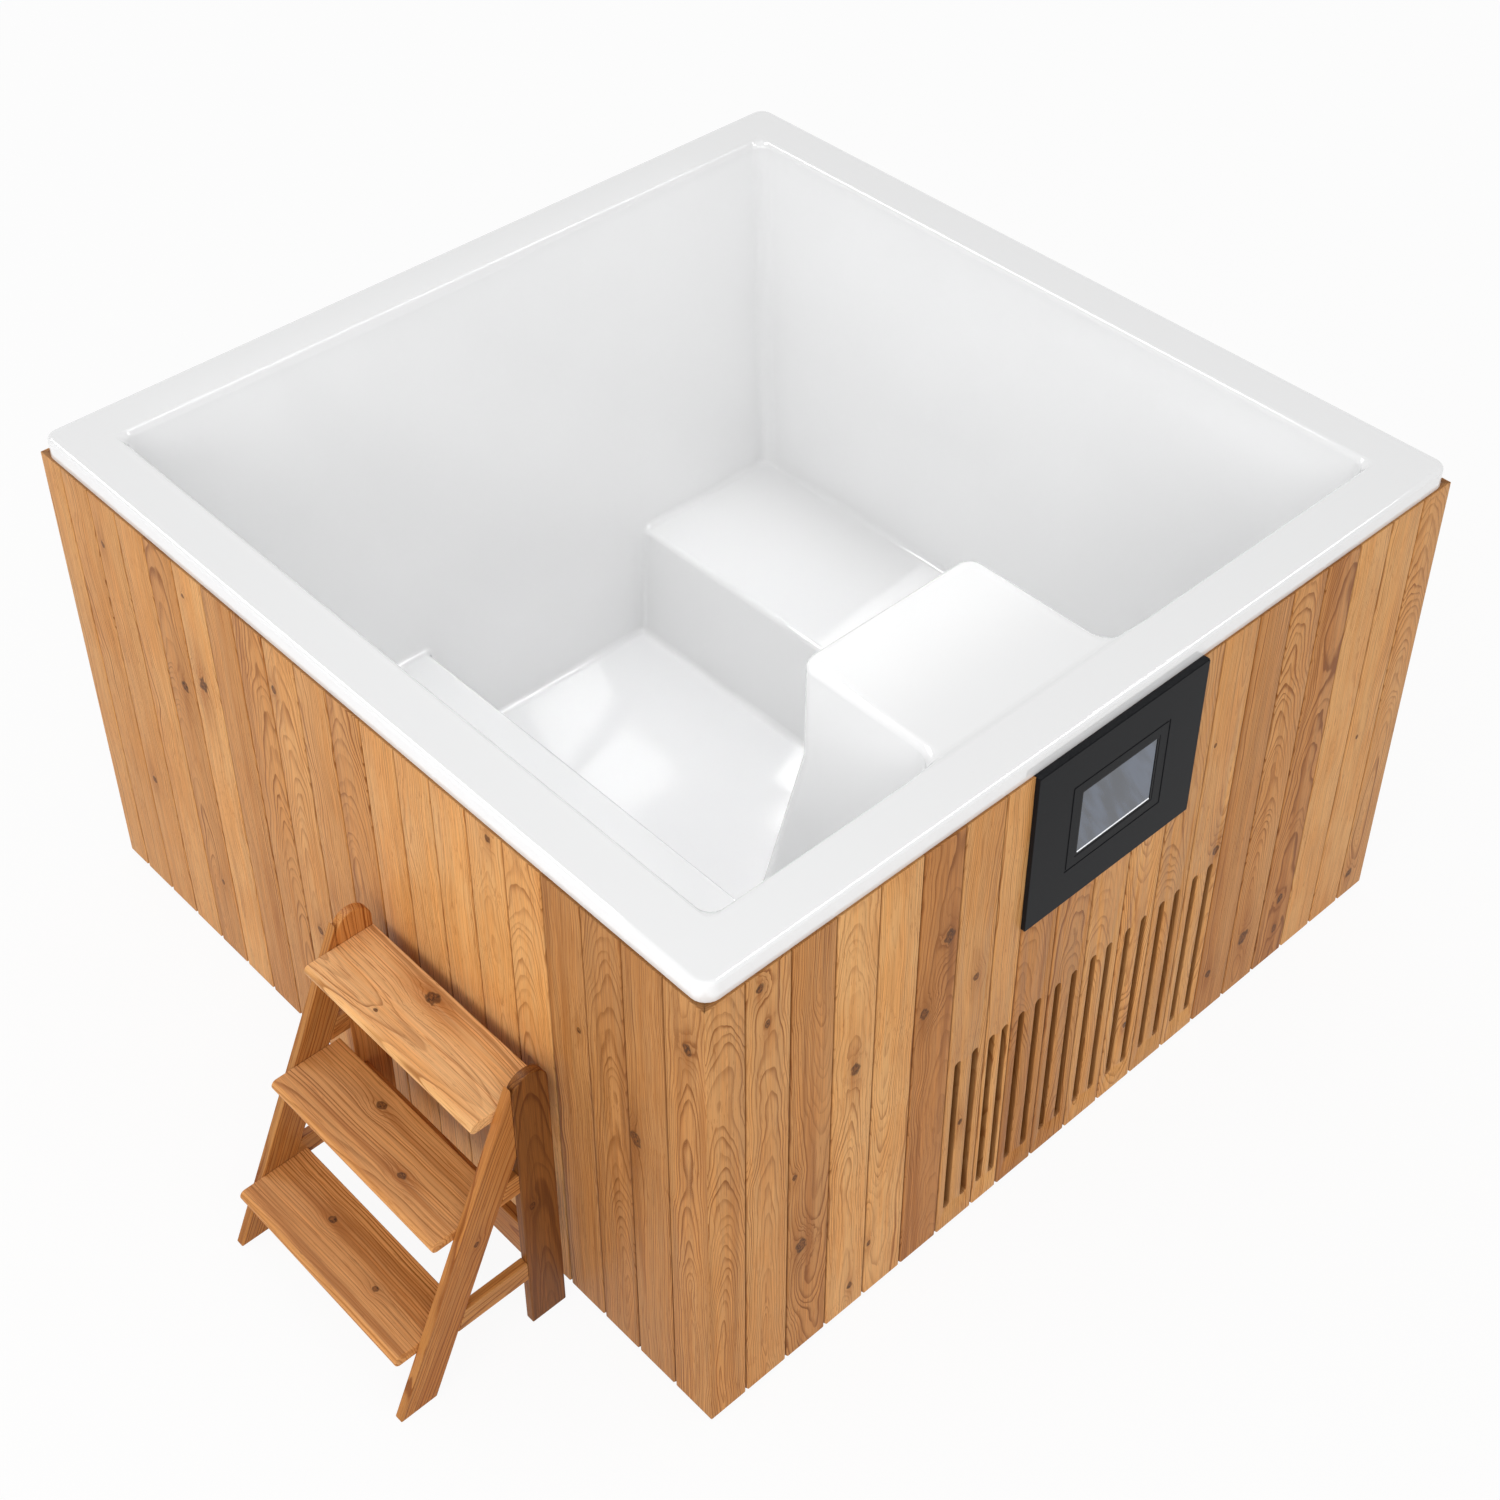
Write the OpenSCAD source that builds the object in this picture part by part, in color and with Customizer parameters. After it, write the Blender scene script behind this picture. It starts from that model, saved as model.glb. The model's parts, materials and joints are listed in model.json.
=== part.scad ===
// A square cold plunge tub: an acrylic basin with a bench and a sunken footwell, set in a
// boarded timber frame, with a chiller, pump and filter under the raised block at the front,
// and a loose three-step stool at the left side. The front faces -Y and the floor is z = 0.

/* [Tub] */
// Width over the boards, left to right
tub_w = 1600; // [1560:10:1700]
// Depth over the boards, front to back
tub_d = 1600; // [1560:10:1700]
// Height of the rim above the floor
tub_h = 954; // [930:2:1000]

/* [Basin] */
// Width of the flat rim, from its outer edge to the opening
rim_w = 91; // [80:1:100]
// Height of the rim's turned-down lip
lip_h = 35.5; // [30:0.5:40]
// Wall thickness of the basin
shell_t = 8; // [6:0.5:9]
// Height of the bench and the entry step above the floor
bench_h = 248; // [230:1:280]
// Width of the bench on the right
bench_w = 338; // [300:1:380]
// Width of the entry step on the left
step_w = 450; // [420:1:480]
// Height of the footwell's floor
footwell_h = 30; // [28:1:34]
// How far the left and right walls lean in between the rim and the bench
side_lean = 38; // [30:1:45]
// How far the front and back walls lean in between the rim and the bench
end_lean = 66; // [58:1:74]

/* [Machine block] */
// Width of the raised block over the machines
block_w = 361; // [355:1:380]
// How far the block reaches in from the front edge of the opening
block_d = 282; // [278:1:310]
// How far the block's middle lies to the left of the tub's middle
block_offset = 96.5; // [85:0.5:100]
// How far the block spreads on each side at the floor
block_flare = 112; // [108:1:116]
// Height where the block starts to spread
flare_h = 760; // [740:1:780]

/* [Cladding] */
// Thickness of a board
board_t = 20; // [18:0.5:22]
// Cover width of a side or back board
board_w = 81.1; // [78:0.1:84]
// Width of the front boards at the two corners
edge_board_w = 71; // [66:1:76]
// Width of the one ripped board in the front
ripped_board_w = 58.6; // [56:0.1:62]
// Where the ripped board's left edge lies, from the tub's middle
ripped_board_x = -240.5; // [-244:0.5:-237]
// Width of a vent slot
slot_w = 14; // [10:1:15]
// Height of the lower end of the slots
slot_low = 54; // [48:1:80]
// Height of the upper end of the slots
slot_high = 408; // [380:1:430]

/* [Control panel] */
// Width of the dark panel
fascia_w = 370; // [340:1:380]
// Height of the dark panel
fascia_h = 306; // [300:1:320]
// Thickness of the dark panel
fascia_t = 8; // [6:0.5:10]
// Width of the screen's glass
screen_w = 163; // [155:1:168]
// Height of the screen's glass
screen_h = 122; // [116:1:128]

/* [Step stool] */
// Width over the two side frames
stool_w = 435; // [400:1:480]
// Rise from one tread to the next
stool_rise = 193.5; // [180:0.5:200]
// How far each tread steps in from the one below
stool_going = 87; // [80:1:92]
// Height of the lowest tread
first_tread_h = 128; // [120:1:140]
// Depth of a tread
tread_d = 128; // [124:1:134]
// Thickness of the treads
tread_t = 20; // [18:0.5:22]
// Thickness of the side frames
stool_frame_t = 16; // [15:0.5:20]
// Gap between the stool and the tub
stool_gap = 22; // [15:1:40]
// Distance of the stool's middle in front of the tub's middle
stool_y = 271.5; // [200:0.5:300]

/* [Hidden] */

$fn = 64;
eps = 0.01;

half_w = tub_w / 2;
half_d = tub_d / 2;

// Heights of the rim and of the timber under it
lip_z = tub_h - lip_h;
rim_under_z = tub_h - shell_t;
rim_edge_r = 7;
rim_corner_r = 26;
rim_inset = 5;
rim_x = half_w - rim_inset;
rim_y = half_d - rim_inset;

// Opening and walls of the basin
open_x = rim_x - rim_w;
open_y = rim_y - rim_w;
mouth_r = 12;
inner_corner_r = 27;
foot_x = open_x - side_lean;
foot_y = open_y - end_lean;
bench_edge = foot_x - bench_w;
step_edge = step_w - foot_x;
riser_lean = 44;
footwell_end_lean = 36;

// Machine block and the bay inside it
block_left = -block_offset - block_w / 2;
block_right = block_left + block_w;
block_back = block_d - open_y;
block_top_drop = 8;
block_top = tub_h - block_top_drop;
block_corner_r = 28;
block_edge_r = 18;
block_lean = atan(block_flare / (flare_h - footwell_h));

// Timber frame
timber = 45;
post_in_x = half_w - board_t - timber;
post_in_y = half_d - board_t - timber;
base_z = 8;
base_t = 14;
floor_z = base_z + base_t;
board_foot = 6;
mid_rail_z = 460;
stud_at = 390;
front_stud_at = 435;
foam_t = 40;

// Machine bay: places of what stands in it
bay_front = -half_d + board_t;
tray_h = 8;
shelf_z = 282;
shelf_t = 4;
coil_x = -185;
coil_z = 210;
fan_d = 236;
fan_in = 105;
fan_y = bay_front + fan_in;
pump_x = 84;
pump_z = 108;
pump_in = 310;
pump_y = bay_front + pump_in;
filter_x = 5;
filter_in = 238;
filter_y = bay_front + filter_in;
exchanger_x = -205;
exchanger_in = 280;
exchanger_y = bay_front + exchanger_in;
lamp_x = -96;
lamp_in = 322;
lamp_y = bay_front + lamp_in;
exchanger_h = 250;
return_z = shelf_z + shelf_t + exchanger_h - 60;
tail_l = 60;
jet_x = block_left + 0.62 * block_w;
jet_z = return_z + tail_l * sin(block_lean);
suction_l = 40;
suction_z = pump_z + suction_l * sin(block_lean);

// Control panel
fascia_top = lip_z - 0.5;
fascia_z = fascia_top - fascia_h / 2;
fascia_y = -half_d - fascia_t;
bezel_w = screen_w + 48;
bezel_h = screen_h + 46;
box_w = screen_w - 11;
box_h = screen_h - 10;

// Drain
drain_y = -300;
drain_z = 78;
drain_r = 16;
drain_bore = 13;
valve_x = half_w + 30;
outlet_end = valve_x + 48;
outlet_r = 15.2;

// Power inlet
inlet_in = 180;
inlet_y = -half_d + inlet_in;
inlet_z = 240;
inlet_r = 22;

// Step stool
stool_back = -half_w - stool_gap;
leg_w = 65;
leg_front = stool_back - leg_w;
frame_near = -stool_y - stool_w / 2;
frame_far = -stool_y + stool_w / 2;
tread_l = stool_w - 2 * stool_frame_t;
stile_lean = stool_going / stool_rise;
stile_w = 66;
leg_arch_r = leg_w / 2;
top_tread_h = first_tread_h + 2 * stool_rise;
leg_top = top_tread_h + 50;
top_nose = stool_back - tread_d;
nose_ahead = 44;
stile_foot = top_nose + nose_ahead - top_tread_h * stile_lean;

// General shapes

// A flat rounded rectangle at one height: [x0, x1, y0, y1, corner radius, z]
module level(s) {
    for (x = [s[0] + s[4], s[1] - s[4]])
        for (y = [s[2] + s[4], s[3] - s[4]])
            translate([x, y, s[5]])
                cylinder(r = s[4], h = eps, $fn = 32);
}

module loft(a, b) {
    hull() {
        level(a);
        level(b);
    }
}

function grown(s, t, dz = 0) = [s[0] - t, s[1] + t, s[2] - t, s[3] + t, max(s[4] + t, 1), s[5] + dz];

module box(x0, x1, y0, y1, z0, z1) {
    translate([x0, y0, z0])
        cube([x1 - x0, y1 - y0, z1 - z0]);
}

module along_y(r, y0, y1) {
    translate([0, y0, 0])
        rotate([-90, 0, 0])
            cylinder(r = r, h = y1 - y0);
}

module along_x(r, x0, x1) {
    translate([x0, 0, 0])
        rotate([0, 90, 0])
            cylinder(r = r, h = x1 - x0);
}

module ring(r_out, r_in, h) {
    difference() {
        cylinder(r = r_out, h = h);
        translate([0, 0, -1])
            cylinder(r = r_in, h = h + 2);
    }
}

// A pipe elbow that starts upwards at the origin and ends towards -X
module elbow(bend, r_out, r_in) {
    translate([-bend, 0, 0])
        rotate([90, 0, 0])
            rotate_extrude(angle = 90, $fn = 96)
                translate([bend, 0])
                    difference() {
                        circle(r = r_out);
                        circle(r = r_in);
                    }
}

// Basin

well_top = [-open_x, open_x, -open_y, open_y, inner_corner_r, tub_h - mouth_r];
well_foot = [-foot_x, foot_x, -foot_y, foot_y, inner_corner_r, bench_h];
foot_top = [step_edge, bench_edge, -foot_y, foot_y, inner_corner_r - 4, bench_h + eps];
foot_low = [step_edge + riser_lean * 0.9, bench_edge - riser_lean, -foot_y + footwell_end_lean,
    foot_y - footwell_end_lean, inner_corner_r - 4, footwell_h];

// The rounded mouth, as a few levels of a quarter circle
function mouth_level(a) = grown(well_top, mouth_r * (1 - cos(a)), mouth_r * sin(a));

module well_space() {
    loft(well_top, well_foot);
    for (a = [0, 30, 60])
        loft(mouth_level(a), mouth_level(a + 30));
    loft(mouth_level(90), grown(mouth_level(90), 0, 1));
    loft(foot_top, foot_low);
}

function block_level(z, inset = 0) =
    let (spread = max(0, flare_h - z) * tan(block_lean) - inset)
    [block_left - spread, block_right + spread, -half_d + board_t + 1, block_back + spread,
        max(block_corner_r - inset, 4), z];

function bay_edge_level(a, t) =
    block_level(block_top - t - block_edge_r + block_edge_r * sin(a), t + block_edge_r * (1 - cos(a)));

module block_form(t) {
    hull() {
        level(block_level(footwell_h - shell_t - (t > 0 ? 3 : 0), t));
        level(block_level(flare_h, t));
    }
    hull() {
        level(block_level(flare_h, t));
        for (a = [0 : 22.5 : 90])
            level(bay_edge_level(a, t));
    }
}

module rim_form() {
    difference() {
        hull() {
            level([-rim_x, rim_x, -rim_y, rim_y, rim_corner_r, lip_z]);
            for (a = [0 : 22.5 : 90])
                level(grown([-rim_x, rim_x, -rim_y, rim_y, rim_corner_r, tub_h - rim_edge_r - eps],
                    rim_edge_r * (cos(a) - 1), rim_edge_r * sin(a)));
        }
        loft([-rim_x + 9, rim_x - 9, -rim_y + 9, rim_y - 9, rim_corner_r - 9, lip_z - 1],
            [-rim_x + 9, rim_x - 9, -rim_y + 9, rim_y - 9, rim_corner_r - 9, rim_under_z]);
    }
}

// Point on the block's slanted back face, at a height
function block_face_y(z) = block_back + max(0, flare_h - z) * tan(block_lean);

// Turns +Z to the outward direction of the block's back face
module on_block_face(x, z) {
    translate([x, block_face_y(z), z])
        rotate([-(90 - block_lean), 0, 0])
            children();
}

// Point on the riser of the bench, at a height
function riser_x(z) = bench_edge - riser_lean * (bench_h - z) / (bench_h - footwell_h);

module basin_shell() {
    color([0.95, 0.955, 0.96])
        difference() {
            union() {
                rim_form();
                loft(grown(well_top, shell_t, mouth_r / 2), grown(well_foot, shell_t, -shell_t));
                loft(grown(foot_top, shell_t, -2), grown(foot_low, shell_t, -shell_t));
            }
            difference() {
                well_space();
                block_form(0);
            }
            block_form(shell_t);
            on_block_face(pump_x, suction_z)
                translate([0, 0, -30])
                    cylinder(r = 24, h = 60);
            on_block_face(jet_x, jet_z)
                translate([0, 0, -30])
                    cylinder(r = 29, h = 60);
            translate([0, drain_y, drain_z])
                along_x(drain_r + 4, riser_x(drain_z) - 30, riser_x(drain_z) + 30);
        }
}

// Cladding

chamfer = 2.4;
board_gap = 0.6;
tongue_l = 6;
tongue_t = 5;

// Plan of one board between two joints, outer face on v = 0
function board_plan(u0, u1, first, last) =
    let (t0 = (board_t - tongue_t) / 2)
    let (t1 = t0 + tongue_t)
    let (e = u1 - (last ? 0 : board_gap))
    concat(
        first ? [[u0 + 0.3, 0]] : [[u0, chamfer], [u0 + chamfer, 0]],
        last ? [[e - 0.3, 0], [e - board_t - 0.3, board_t]] :
            [[e - chamfer, 0], [e, chamfer], [e, t0], [e + tongue_l, t0],
                [e + tongue_l, t1], [e, t1], [e, board_t]],
        first ? [[u0 + board_t + 0.3, board_t]] :
            [[u0, board_t], [u0, t1 + 0.3], [u0 + tongue_l + 0.6, t1 + 0.3],
                [u0 + tongue_l + 0.6, t0 - 0.3], [u0, t0 - 0.3]]);

module board(u0, u1, first, last) {
    difference() {
        translate([0, 0, board_foot])
            linear_extrude(lip_z - board_foot)
                polygon(board_plan(u0, u1, first, last));
        // Small notches where the chamfers meet the foot of the board
        if (!first)
            foot_notch(u0);
        if (!last)
            foot_notch(u1 - board_gap);
    }
}

module foot_notch(u) {
    translate([u, -1, board_foot])
        rotate([-90, 0, 0])
            cylinder(r = 4, h = board_t + 2, $fn = 4);
}

// Joints of the front: two corner boards, a ripped board, and equal boards between
front_left_n = 6;
front_right_n = 11;
left_pitch = (ripped_board_x + half_w - edge_board_w) / front_left_n;
ripped_end = ripped_board_x + ripped_board_w;
right_pitch = (half_w - edge_board_w - ripped_end) / front_right_n;
front_joints = concat([-half_w],
    [for (i = [0 : front_left_n]) -half_w + edge_board_w + i * left_pitch],
    [for (i = [0 : front_right_n]) ripped_end + i * right_pitch],
    [half_w]);

// Joints of a side wall, counted from its front corner; the last board is cut to fit
function wall_joints(l) =
    let (n = ceil(l / board_w - 0.45))
    concat([for (i = [0 : n - 1]) -l / 2 + i * board_w], [l / 2]);

module wall(joints) {
    for (i = [0 : len(joints) - 2])
        board(joints[i], joints[i + 1], i == 0, i == len(joints) - 2);
}

// Each slotted board has two slots
slotted_first = front_left_n;
slotted_n = 8;
slot_spread = 19;

function board_mid(i) = (front_joints[i] + front_joints[i + 1]) / 2;

function slot_xs() = [for (i = [slotted_first : slotted_first + slotted_n - 1]) for (s = [-1, 1])
    board_mid(i) + s * (i == slotted_first + 1 ? slot_spread * 0.76 : slot_spread)];

module slot_hole(x, w, y0, y1) {
    side = w / 2 - 0.05;
    box(x - side, x + side, y0, y1, slot_low + w / 2, slot_high - w / 2);
    for (z = [slot_low + w / 2, slot_high - w / 2])
        translate([x, 0, z])
            along_y(w / 2, y0, y1);
}

module cladding_front() {
    color([0.78, 0.55, 0.34])
        difference() {
            translate([0, -half_d, 0])
                wall(front_joints);
            for (x = slot_xs())
                slot_hole(x, slot_w, -half_d - 1, bay_front + 1);
            box(-box_w / 2 - 12, box_w / 2 + 12, -half_d - 1, bay_front + 1,
                fascia_z - box_h / 2 - 4, fascia_z + box_h / 2 + 4);
            for (x = [-1, 1])
                for (z = [-1, 1])
                    translate([x * stud_pin_x, 0, fascia_z + z * stud_pin_z])
                        along_y(3.5, -half_d - 1, bay_front + 1);
        }
}

module cladding_back() {
    color([0.78, 0.55, 0.34])
        rotate([0, 0, 180])
            translate([0, -half_d, 0])
                wall(wall_joints(tub_w));
}

module cladding_left() {
    color([0.8, 0.56, 0.34])
        mirror([1, 0, 0])
            rotate([0, 0, 90])
                translate([0, -half_w, 0])
                    wall(wall_joints(tub_d));
}

module cladding_right() {
    color([0.78, 0.55, 0.34])
        difference() {
            rotate([0, 0, 90])
                translate([0, -half_w, 0])
                    wall(wall_joints(tub_d));
            translate([0, drain_y, drain_z])
                along_x(drain_r + 2, half_w - board_t - 1, half_w + 1);
            translate([0, inlet_y, inlet_z])
                along_x(inlet_r + 6, half_w - board_t - 1, half_w + 1);
        }
}

// Timber frame

module corner_posts() {
    color([0.85, 0.72, 0.52])
        for (x = [-1, 1])
            for (y = [-1, 1])
                translate([x * (post_in_x + timber / 2), y * (post_in_y + timber / 2), floor_z])
                    translate([-timber / 2, -timber / 2, 0])
                        cube([timber, timber, rim_under_z - floor_z]);
}

// Four rails between the posts, at one height
module rail_ring(z, h) {
    for (s = [-1, 1]) {
        translate([-post_in_x, s > 0 ? post_in_y : -post_in_y - timber, z])
            cube([2 * post_in_x, timber, h]);
        translate([s > 0 ? post_in_x : -post_in_x - timber, -post_in_y, z])
            cube([timber, 2 * post_in_y, h]);
    }
}

module top_rails() {
    color([0.85, 0.72, 0.52])
        rail_ring(rim_under_z - timber, timber);
}

module bottom_rails() {
    color([0.85, 0.72, 0.52])
        difference() {
            rail_ring(floor_z, timber);
            translate([0, drain_y, drain_z])
                along_x(drain_r + 3, post_in_x - 1, half_w);
            box(slot_xs()[0] - 20, slot_xs()[15] + 20, bay_front - 1, -post_in_y + 1,
                slot_low - 10, floor_z + timber + 1);
        }
}

// Studs of one wall, along its length
function studs(front) = front ? [-front_stud_at, front_stud_at] : [-stud_at, stud_at];

module in_walls(with_front) {
    for (a = with_front ? [0, 90, 180, 270] : [90, 180, 270])
        rotate([0, 0, a])
            translate([0, a % 180 == 0 ? -half_d + board_t : -half_w + board_t, 0])
                children();
}

module stud_set(xs) {
    for (x = xs)
        box(x - timber / 2, x + timber / 2, 0, timber, floor_z + timber, rim_under_z - timber);
}

module wall_studs() {
    color([0.85, 0.72, 0.52]) {
        in_walls(false)
            stud_set(studs(false));
        translate([0, bay_front, 0])
            stud_set(studs(true));
    }
}

// Rails at half height between the uprights of one wall; the machine bay stays open
module mid_rail_run(stops) {
    for (i = [0 : 2 : len(stops) - 2])
        box(stops[i], stops[i + 1], 0, timber, mid_rail_z, mid_rail_z + timber);
}

function wall_stops(at, post) =
    [-post, -at - timber / 2, -at + timber / 2, at - timber / 2, at + timber / 2, post];

module middle_rails() {
    color([0.85, 0.72, 0.52]) {
        for (a = [90, 270])
            rotate([0, 0, a])
                translate([0, -half_w + board_t, 0])
                    mid_rail_run(wall_stops(stud_at, post_in_y));
        translate([0, half_d - board_t - timber, 0])
            mid_rail_run(wall_stops(stud_at, post_in_x));
        translate([0, bay_front, 0])
            mid_rail_run([-post_in_x, -front_stud_at - timber / 2,
                front_stud_at + timber / 2, post_in_x]);
    }
}

module base_panel() {
    color([0.3, 0.3, 0.31])
        box(-half_w + board_t + 1, half_w - board_t - 1, -half_d + board_t + 1,
            half_d - board_t - 1, base_z, floor_z);
}

module rubber_feet() {
    color([0.12, 0.12, 0.12])
        for (x = [-1, 0, 1])
            for (y = [-1, 0, 1])
                translate([x * (half_w - 110), y * (half_d - 110), 0])
                    cylinder(r = 50, h = base_z);
}

bearer_t = 18;
bearer_in = 138;
bearer_y = foot_y - bearer_in;
step_bearer_in = 212;
step_bearer_mid = 150;

// Upright boards under the bench, cut back along its leaning riser
module bench_bearers() {
    color([0.85, 0.72, 0.52])
        for (y = [-bearer_y, 0, bearer_y])
            translate([0, y + bearer_t / 2, 0])
                rotate([90, 0, 0])
                    linear_extrude(bearer_t)
                        polygon([[riser_x(floor_z) + 13, floor_z], [foot_x, floor_z],
                            [foot_x, bench_h - shell_t], [riser_x(bench_h) + 13, bench_h - shell_t]]);
}

module step_bearers() {
    color([0.85, 0.72, 0.52])
        for (y = [block_back + step_bearer_in, step_bearer_mid, bearer_y])
            translate([0, y + bearer_t / 2, 0])
                rotate([90, 0, 0])
                    linear_extrude(bearer_t)
                        polygon([[step_edge + riser_lean * 0.9 - 15, floor_z], [-foot_x, floor_z],
                            [-foot_x, bench_h - shell_t], [step_edge - 11, bench_h - shell_t]]);
}

// Foam between the uprights, in two courses split by the middle rail
module foam_run(stops) {
    for (i = [0 : 2 : len(stops) - 2])
        for (z = [[floor_z + timber, mid_rail_z], [mid_rail_z + timber, rim_under_z - timber]])
            box(stops[i], stops[i + 1], 0, foam_t, z[0], z[1]);
}

module insulation_panels() {
    color([0.93, 0.88, 0.62])
        difference() {
            union() {
                for (a = [90, 270])
                    rotate([0, 0, a])
                        translate([0, -half_w + board_t, 0])
                            foam_run(wall_stops(stud_at, post_in_y));
                rotate([0, 0, 180])
                    translate([0, -half_d + board_t, 0])
                        foam_run(wall_stops(stud_at, post_in_x));
                translate([0, bay_front, 0])
                    foam_run([-post_in_x, -front_stud_at - timber / 2,
                        front_stud_at + timber / 2, post_in_x]);
            }
            translate([0, drain_y, drain_z])
                along_x(drain_r + 3, post_in_x - 1, half_w);
            box(post_in_x - 1, half_w, inlet_y - 42, inlet_y + 42, inlet_z - 42, inlet_z + 42);
        }
}

// Vents and control panel

mesh_t = 1.5;

module vent_mesh() {
    x0 = slot_xs()[0] - 18;
    x1 = slot_xs()[15] + 18;
    bars = 4;
    pane = (slot_high - slot_low) / bars;
    color([0.2, 0.2, 0.2])
        difference() {
            box(x0, x1, bay_front, bay_front + mesh_t, slot_low - 6, slot_high + 12);
            for (x = slot_xs())
                for (i = [0 : bars - 1])
                    box(x - 5, x + 5, bay_front - 1, bay_front + 4,
                        slot_low + i * pane + 4, slot_low + (i + 1) * pane - 4);
        }
}

stud_pin_x = fascia_w / 2 - 22;
stud_pin_z = fascia_h / 2 - 28;

// Dark panel with a stepped frame round the screen and four studs on its back
module control_fascia() {
    color([0.2, 0.21, 0.22]) {
        difference() {
            box(-fascia_w / 2, fascia_w / 2, fascia_y, -half_d,
                fascia_z - fascia_h / 2, fascia_z + fascia_h / 2);
            box(-box_w / 2 - 2, box_w / 2 + 2, fascia_y - 1, -half_d + 1,
                fascia_z - box_h / 2 - 2, fascia_z + box_h / 2 + 2);
            box(-screen_w / 2 - 5, screen_w / 2 + 5, fascia_y - 1, fascia_y + 3.5,
                fascia_z - screen_h / 2 - 5, fascia_z + screen_h / 2 + 5);
            rect_ring(bezel_w / 2, bezel_h / 2, 3.2, fascia_y - 1, fascia_y + 1);
        }
        for (x = [-1, 1])
            for (z = [-1, 1])
                translate([x * stud_pin_x, 0, fascia_z + z * stud_pin_z])
                    along_y(2.5, -half_d - 1, bay_front + 14);
    }
}

// A rectangular ring round the screen's middle, of half sizes a and b
module rect_ring(a, b, w, y0, y1) {
    difference() {
        box(-a, a, y0, y1, fascia_z - b, fascia_z + b);
        box(-a + w, a - w, y0 - 1, y1 + 1, fascia_z - b + w, fascia_z + b - w);
    }
}

module screen_bezel() {
    color([0.13, 0.135, 0.14])
        rect_ring(screen_w / 2 + 4.9, screen_h / 2 + 4.9, 4.7, fascia_y + 0.6, fascia_y + 3.4);
}

module touch_screen() {
    color([0.45, 0.48, 0.53])
        box(-screen_w / 2, screen_w / 2, fascia_y + 1.6, fascia_y + 3.4,
            fascia_z - screen_h / 2, fascia_z + screen_h / 2);
}

// Sealed housing of the screen and the controller, behind the panel
module control_box() {
    color([0.15, 0.15, 0.16])
        difference() {
            union() {
                box(-box_w / 2, box_w / 2, fascia_y + 3.6, bay_front + 12,
                    fascia_z - box_h / 2, fascia_z + box_h / 2);
                box(-box_w / 2 - 16, box_w / 2 + 16, bay_front + 4, bay_front + 58,
                    fascia_z - box_h / 2 - 12, fascia_z + box_h / 2 + 12);
            }
            box(-box_w / 2 + 3, box_w / 2 - 3, fascia_y + 6, bay_front + 10,
                fascia_z - box_h / 2 + 3, fascia_z + box_h / 2 - 3);
            box(-box_w / 2 - 13, box_w / 2 + 13, bay_front + 7, bay_front + 55,
                fascia_z - box_h / 2 - 9, fascia_z + box_h / 2 + 9);
        }
}

module fascia_nuts() {
    color([0.75, 0.75, 0.77])
        for (x = [-1, 1])
            for (z = [-1, 1])
                translate([x * stud_pin_x, bay_front, fascia_z + z * stud_pin_z])
                    rotate([-90, 0, 0])
                        difference() {
                            union() {
                                cylinder(r = 8, h = 1.5);
                                translate([0, 0, 1.5])
                                    cylinder(r = 4.6, h = 4.5, $fn = 6);
                            }
                            translate([0, 0, -1])
                                cylinder(r = 2.5, h = 9);
                        }
}

// Machines

tray_x0 = block_left - 70;
tray_x1 = block_right + 76;
tray_y0 = bay_front + 46;
tray_y1 = block_face_y(floor_z) - 22;

module chiller_tray() {
    color([0.7, 0.71, 0.72])
        difference() {
            box(tray_x0, tray_x1, tray_y0, tray_y1, floor_z, floor_z + tray_h);
            box(tray_x0 + 3, tray_x1 - 3, tray_y0 + 3, tray_y1 - 3, floor_z + 2, floor_z + tray_h + 1);
        }
}

tray_top = floor_z + 2;
shelf_x0 = block_left - 10;
shelf_x1 = block_right + 63;
shelf_y0 = bay_front + 165;
shelf_y1 = block_back - 22;

// Sheet shelf on four legs, over the compressor and the pump
module machine_shelf() {
    color([0.7, 0.71, 0.72]) {
        difference() {
            box(shelf_x0, shelf_x1, shelf_y0, shelf_y1, shelf_z, shelf_z + shelf_t);
            translate([pump_x, pump_y, shelf_z - 1])
                cylinder(r = 22, h = shelf_t + 2);
        }
        for (x = [shelf_x0, shelf_x1 - 4])
            for (y = [shelf_y0, shelf_y1 - 25])
                box(x, x + 4, y, y + 25, tray_top, shelf_z + 1);
    }
}

coil_w = 270;
coil_h = 270;
coil_t = 30;
fin_n = 27;

// Finned coil: upright fins threaded on level tubes, with end plates
module condenser_coil() {
    y0 = fan_y - 55;
    color([0.72, 0.72, 0.7])
        translate([coil_x - coil_w / 2, y0, coil_z - coil_h / 2]) {
            for (i = [0 : fin_n - 1])
                translate([i * (coil_w - 2) / (fin_n - 1), 0, 0])
                    cube([i == 0 || i == fin_n - 1 ? 2 : 0.8, coil_t, coil_h]);
            for (z = [1 : 6])
                translate([0, coil_t / 2, z * coil_h / 7])
                    along_x(4.8, -8, coil_w + 8);
            // Feet that stand on the tray
            for (x = [0, coil_w - 2])
                translate([x, 0, tray_top - coil_z + coil_h / 2])
                    cube([2, coil_t, coil_z - coil_h / 2 - tray_top + 1]);
        }
}

shroud_w = 270;
shroud_y = fan_y - 25;

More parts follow.
